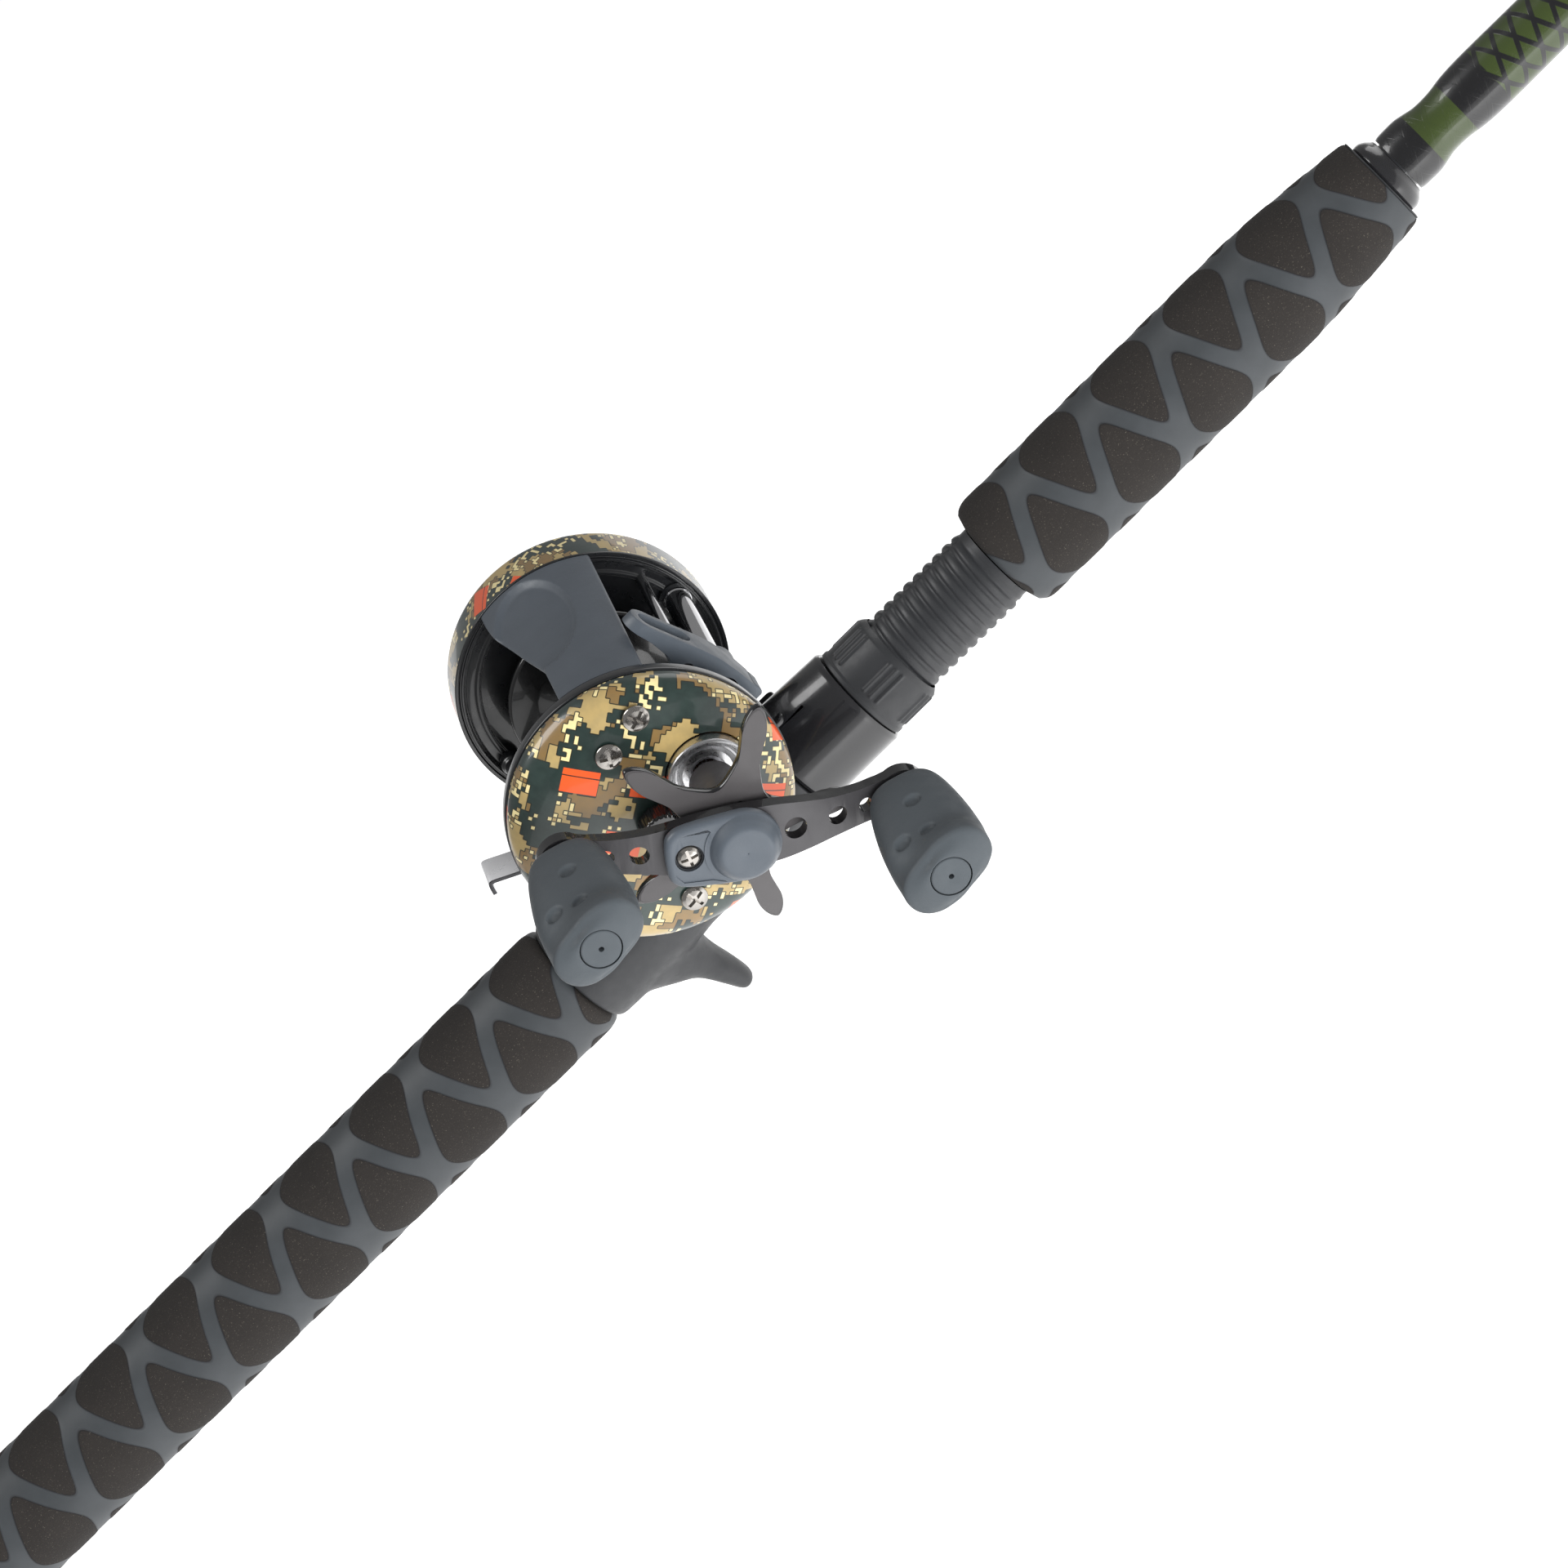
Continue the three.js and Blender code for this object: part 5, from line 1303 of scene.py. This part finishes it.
def make_lever():
    """The bent bright-plated tab that the thumb presses, with a small return at its end."""
    line = [(-28.8, 6.95), (-30.3, 7.55), (-33.4, 9.3), (-36.4, 11.0), (-37.1, 10.9), (-37.6, 10.0),
            (-38.15, 8.4)]
    line = [tuple(p) for p in smooth_curve(line, 26)]
    outer, inner = [], []
    for i, spot in enumerate(line):
        run = heading(line, i)
        normal = np.array((-run[1], run[0]))
        outer.append(tuple(np.array(spot) + normal * 0.45))
        inner.append(tuple(np.array(spot) - normal * 0.45))
    tab = prism("lever_tab", outer + inner[::-1], -27.5, -18.2, axes=REEL)
    round_edges(tab, 0.2, 2, 40)
    stem = prism("lever_stem", [(-29.7, 6.4), (-14.6, 6.4), (-14.6, 7.7), (-29.7, 7.7)], -27.9, -26.9,
                 axes=REEL)
    round_edges(stem, 0.2, 2)
    finger = prism("lever_finger", [(-17.9, 6.5), (-14.6, 6.5), (-14.6, 7.6), (-17.9, 7.6)], -31.3, -26.9,
                   axes=REEL)
    fuse(tab, stem, finger)
    finish(tab, "release_lever", "bright_plate", "release_lever", sharp=30, slot="chrome")
    tab.data.materials.append(MATERIALS["sheared_edge"])
    for face in tab.data.polygons:
        if abs(face.normal.y) > 0.5:
            face.material_index = 1


def make_collar_and_cap():
    collar = [(-42.7, 8.3), (-42.9, 8.7), (-42.7, 9.2), (-42.3, 9.4), (-39.2, 9.4), (-39.2, 3.3),
              (-39.6, 3.3), (-39.9, 4.2),
              (-39.7, 5.6), (-40.0, 6.6), (-40.4, 6.8), (-40.4, 7.4), (-41.2, 7.6), (-41.3, 8.1)]
    finish(turned("shaft_collar_ring", collar, "y", DRIVE_AXES, 96, soften=0.12), "rod", "aluminium",
           "shaft_collar")
    sides = 216
    rings = []
    for y in np.linspace(-47.3, -41.3, 26):
        ring = []
        ends = 0.5 * max(0, 1 - min(y + 47.3, -41.3 - y) / 0.7) ** 2
        for k in range(sides):
            a = 2 * math.pi * k / sides
            radius = 4.85 + 0.22 * (math.cos(a * 27) > 0) - ends
            ring.append((radius * math.cos(a), y, radius * math.sin(a)))
        rings.append(ring)
    turns = [2 * math.pi * k / sides for k in range(sides)]
    recess = [(2.7, -41.3), (2.7, -43.5), (0.01, -43.5), (0.01, -47.3)]
    inside = [[(r * math.cos(a), y, r * math.sin(a)) for a in turns] for r, y in recess]
    finish(tube("tension_cap_knurled", rings + inside, REEL, closed=True), "tension_cap", "gloss_black",
           "tension_cap", sharp=30, slot="soft_grey")


# ------------------------------------------------------------------ reel: star, handle and knobs
STAR_ARMS = (33, 105, 177, 249, 321)  # degrees from +X towards +Z
STAR_BEND = [(0, -63.6), (8, -63.6), (11, -63.5), (15, -63.1), (19, -62.5), (23, -61.8), (27, -61.1)]
# Half width of a star arm at distances from the hub.
STAR_ARM = [(13.2, 2.8), (15.5, 2.35), (18.5, 2.5), (21, 2.65), (23.2, 2.3), (24.9, 1.6), (25.9, 0.85)]


def make_star():
    edge = smooth_loop(star_outline_points(), 520)
    levels = [0.22, 0.34, 0.46, 0.57, 0.67, 0.76, 0.84, 0.9, 0.94, 0.97]
    thick = 2.2

    def surface(point, share, lift):
        u, v = point[0] * share, point[1] * share
        r = math.hypot(u, v)
        return (u, profile_value(STAR_BEND, min(r, 26.1)) + lift, v)

    def inward(point, distance):
        r = math.hypot(*point)
        return (r - distance) / r

    rings = [[surface(p, s, 0) for p in edge] for s in levels]
    corner = [(0.9, 0.0), (0.35, 0.12), (0.1, 0.4), (0.0, 0.8), (0.0, thick - 0.8), (0.1, thick - 0.4),
              (0.35, thick - 0.12), (0.9, thick)]
    rings += [[surface(p, inward(p, d), lift) for p in edge] for d, lift in corner]
    rings += [[surface(p, s, thick) for p in edge] for s in reversed(levels)]
    star = tube("star_wheel", rings, DRIVE_AXES, closed=True)
    finish(star, "star_drag", "star_black", "star_drag", sharp=45)
    paint_edges(star, "edge_black")
    hub = [(-62.6, 3.1), (-62.6, 8.4), (-61.6, 8.5), (-59.4, 6.4), (-56, 5.6), (-43.9, 5.2), (-43.9, 3.1)]
    finish(turned("star_hub", hub, "y", DRIVE_AXES, 64, soften=0.4), "star_drag", "star_black")


def star_outline_points():
    points = []
    for i, arm in enumerate(STAR_ARMS):
        following = STAR_ARMS[(i + 1) % len(STAR_ARMS)] + (360 if i == len(STAR_ARMS) - 1 else 0)
        a = math.radians(arm)
        local = [(u, -half) for u, half in STAR_ARM] + [(26.4, 0)] + [(u, half) for u,
                half in reversed(STAR_ARM)]
        points += [(u * math.cos(a) - v * math.sin(a), u * math.sin(a) + v * math.cos(a)) for u, v in local]
        middle = math.radians((arm + following) / 2)
        for turn in (-0.2, 0, 0.2):
            radius = 9.4 + 4 * abs(turn)
            points.append((radius * math.cos(middle + turn), radius * math.sin(middle + turn)))
    return points


def smooth_loop(points, count):
    """Points spread along a closed Catmull-Rom curve."""
    pts = [np.array(p, float) for p in points]
    made = []
    for t in np.linspace(0, len(pts), count, endpoint=False):
        i, f = int(t), t - int(t)
        a, b, c, d = (pts[(i + k) % len(pts)] for k in (-1, 0, 1, 2))
        made.append(tuple(between_points(a, b, c, d, f)))
    return made


ARM_FACE = -70.0
ARM_WIDTH = [(0, 6.9), (8, 6.5), (14, 5.6), (20, 4.6), (27, 4.0), (31, 4.1)]
ARM_BEND = [(0, 0), (8, 0), (14, 0.5), (20, 1.6), (26, 3.3), (30, 4.6), (33, 5), (43, 5)]
ARM_HOLES = ((11.7, 2.45), (21.1, 2.05), (27.6, 1.55))


def make_arm():
    upper = [(x, profile_value(ARM_WIDTH, x)) for x in np.linspace(0, 31, 28)]
    corner = math.degrees(math.asin(upper[-1][1] / 5.6))
    right = upper + circle(KNOB_REACH, 0, 5.6, 180 - corner, corner - 180, 40)[1:-1] + [(x, -w) for x,
            w in reversed(upper)]
    left = [(-x, -w) for x, w in right[1:-1]]
    arm = prism("arm_blank", right + left, -76, -60, axes=CRANK)
    bend = [(x, profile_value(ARM_BEND, x)) for x in np.linspace(0, 43, 44)]
    face = [(-x, ARM_FACE + b) for x, b in reversed(bend[1:])] + [(x, ARM_FACE + b) for x, b in bend]
    slab = prism("arm_slab", face + [(x, y + 3.2) for x, y in reversed(face)], -10, 10, "xy", CRANK)
    carve(arm, slab, operation="INTERSECT")
    for place, radius in ARM_HOLES:
        for side in (-1, 1):
            carve(arm, rod_between("arm_hole", side * place, 0, -80, -55, radius, CRANK, 40))
    round_edges(arm, 0.32, 3, 40)
    arm.name = "handle_arm_plate"
    finish(arm, "crank", "satin_grey", "handle_arm", sharp=40)
    paint_edges(arm, "edge_black")
    for side in (-1, 1):
        post = [(-98.5, 0), (-98.5, 2.1), (-66.2, 2.1), (-65.6, 3.1), (-65.0, 3.1), (-65.0, 2.2),
                (-63.9, 2.0), (-63.9, 0)]
        axes = CRANK @ Matrix.Translation((side * KNOB_REACH, 0, 0))
        finish(turned(f"knob_post_{1 if side > 0 else 2}", post, "y", axes, 32, soften=0.2), "crank",
               "steel")


COVER_TOP, BOSS_TOP, COVER_SCREW_AT = -73.6, -76.3, 11.7


def make_nut_cover():
    plate_outline = [(0, -8.1), (5, -7.8), (12.2, -7.0), (15.1, -5.8), (16.4, -3.2), (16.4, 3.2),
                     (15.1, 5.8),
                     (12.2, 7.0), (5, 7.8), (0, 8.1)]
    right = smooth_curve(plate_outline, 44)
    left = circle(0, 0, 8.1, 90, 270, 28)[1:-1]
    plate = prism("nut_cover_shell", [tuple(p) for p in right] + left, COVER_TOP, ARM_FACE - 0.25,
                  axes=CRANK)
    round_edges(plate, 1.25, 5, 50)
    boss = [(BOSS_TOP, 0), (BOSS_TOP, 4.9), (BOSS_TOP + 0.12, 5.5), (BOSS_TOP + 0.6, 6.1),
            (BOSS_TOP + 1.8, 7.0),
            (COVER_TOP + 0.6, 7.8), (ARM_FACE - 1, 8.0), (ARM_FACE - 1, 0)]
    fuse(plate, turned("boss", boss, "y", CRANK, 72, soften=0.35, steps=4))
    # A flat panel sunk a little into the plate, with a point where it meets the boss.
    arc = circle(0, 0, 8.6, -38, 34, 22)
    panel = [(14.9, -3.6), (15.3, 0), (14.9, 3.6), (13.4, 5.4), (7.4, 6.0),
             (4.4, 7.1)] + arc[::-1] + [(7.4, -5.9), (13.4, -5.4)]
    carve(plate, prism("panel_cut", panel, COVER_TOP - 2, COVER_TOP + 0.28, axes=CRANK))
    carve(plate, rod_between("counterbore", COVER_SCREW_AT, 0, -80, COVER_TOP + 1.4, 3.05, CRANK, 48))
    carve(plate, rod_between("screw_way", COVER_SCREW_AT, 0, -80, -60, 1.5, CRANK))
    carve(plate, rod_between("nut_space", 0, 0, -73.6, -60, 6.2, CRANK))
    round_edges(plate, 0.14, 2, 40)
    finish(plate, "crank", "soft_grey", "nut_cover", sharp=34)
    axes = CRANK @ Matrix.Translation((COVER_SCREW_AT, -70.55, 0))
    make_screw("nut_cover_screw", axes, "crank", "cover_screw", 2.6, 15)
    ring = [(-72.4, 2.66), (-72.9, 2.75), (-72.9, 3.0), (-72.3, 3.0)]
    finish(turned("screw_ring", ring, "y", CRANK @ Matrix.Translation((COVER_SCREW_AT, 0, 0)), 48,
                  soften=0.08),
           "crank", "rubber")


KNOB_TURN = -19.3  # the knobs' wide axis, in degrees from +X towards +Z
KNOB_BASE, KNOB_TOP = -66.0, -101.3
# Stations down a knob from its base: distance, half width, half thickness.
KNOB_SHAPE = [(0, 5.4, 4.8), (0.8, 6.6, 5.8), (2.5, 7.8, 6.6), (6, 8.8, 7.0), (12, 9.7, 7.0),
              (18, 10.3, 6.7), (24, 10.6, 6.2),
              (28, 10.8, 6.0), (34, 10.8, 6.0), (36, 10.8, 6.0)]
# The end's radius at angles from the wide axis, the same again half a turn on. Its rim is skewed.
KNOB_END = [(-20, 8.6), (0, 10.1), (20, 10.7), (38, 10.5), (55, 9.5), (75, 8.0), (100, 6.9), (120, 6.6),
            (140, 7.2), (160, 8.6),
            (180, 10.1), (200, 10.7)]
KNOB_CREST = 32.9
DIMPLES = ((13.6, 0.5), (25.2, 0.4), (24.4, -5.4))  # distance from the base, and across
DIMPLE_RADIUS = 1.75
DIMPLE_DEPTH = 0.9


def knob_radius(angle, d):
    """A knob's radius at an angle from its wide axis and a distance from its base."""
    half_wide = profile_value([(at_d, w) for at_d, w, _ in KNOB_SHAPE], d)
    half_thick = profile_value([(at_d, t) for at_d, _, t in KNOB_SHAPE], d)
    c, s = abs(math.cos(angle)), abs(math.sin(angle))
    body = ((c / half_wide) ** 2.9 + (s / half_thick) ** 2.9) ** (-1 / 2.9)
    end = profile_value(KNOB_END, math.degrees(angle) % 180)
    share = float(np.clip((d - 21) / (KNOB_CREST - 21), 0, 1))
    share = share * share * share * (6 * share * share - 15 * share + 10)
    return body + (end - body) * share


def make_knob(number, place):
    axes = at((place.x, 0, place.z), KNOB_TURN)
    sides = 168
    down = list(np.linspace(0, 1.2, 6)) + list(np.linspace(1.7, KNOB_CREST - 0.6, 88))
    rings = []
    for d in down:
        ring = []
        for k in range(sides):
            angle = 2 * math.pi * k / sides
            radius = knob_radius(angle, d)
            x, z = radius * math.cos(angle), radius * math.sin(angle)
            side = 1 if z > 0 else -1
            if abs(z) > 3:
                for away, across in DIMPLES:
                    off = math.hypot(d - away, x - side * across) / DIMPLE_RADIUS
                    z -= side * DIMPLE_DEPTH * math.exp(-(off**8)) if off < 1.5 else 0
            ring.append((x, KNOB_BASE - d, z))
        rings.append(ring)
    length = KNOB_BASE - KNOB_TOP
    for inward, d in ((0.06, KNOB_CREST - 0.2), (0.3, KNOB_CREST + 0.25), (0.75, KNOB_CREST + 0.6),
                      (1.4, KNOB_CREST + 0.95)):
        rings.append([((knob_radius(a, KNOB_CREST) - inward) * math.cos(a), KNOB_BASE - d,
                       (knob_radius(a, KNOB_CREST) - inward)
                      * math.sin(a)) for a in np.linspace(0, 2 * math.pi, sides, False)])
    for share in (0.25, 0.5, 0.75, 1.0):
        d = KNOB_CREST + 0.95 + (length - KNOB_CREST - 0.95) * (1 - (1 - share) ** 1.6)
        ring = []
        for a in np.linspace(0, 2 * math.pi, sides, False):
            radius = (knob_radius(a, KNOB_CREST) - 1.4) * (1 - share) + 4.55 * share
            ring.append((radius * math.cos(a), KNOB_BASE - d, radius * math.sin(a)))
        rings.append(ring)
    knob = tube(f"knob_{number}_grip", rings, axes)
    carve(knob, rod_between("knob_recess", 0, 0, -110, KNOB_TOP + 2.4, 4.42, axes, 64))
    carve(knob, rod_between("knob_bore", 0, 0, -110, -50, 2.4, axes, 40))
    finish(knob, f"knob_{number}", "knob_rubber", f"knob_{number}", sharp=42)
    cap = [(KNOB_TOP - 0.05, 0.55), (KNOB_TOP - 0.05, 3.95), (KNOB_TOP + 0.15, 4.2), (KNOB_TOP + 2.0, 4.2),
           (KNOB_TOP + 2.0, 0.55)]
    finish(turned(f"knob_cap_{number}_disc", cap, "y", axes, 64, soften=0.12), f"knob_{number}",
           "knob_rubber",
           f"knob_cap_{number}")


INSIDE = {
    "spool_shaft": "steel", "spool_bearing_handle_side": "steel", "spool_bearing_palm_side": "steel",
    "brake_rotor": "soft_grey", "pinion": "brass", "pinion_yoke": "steel", "worm_shaft": "steel",
    "main_gear": "brass",
    "level_wind_wheel": "soft_grey", "drag_stack": "drag_fibre", "drive_shaft": "steel",
    "handle_nut": "steel",
}

make_frame()
make_covers()
make_thumb_rest()
make_spool()
make_level_wind()
make_lever()
make_collar_and_cap()
make_star()
make_arm()
make_nut_cover()
for index, spot in enumerate(KNOBS):
    make_knob(index + 1, spot)
for node_name, finish_name in INSIDE.items():
    show_node(frame["nodes"][node_name], finish_name)
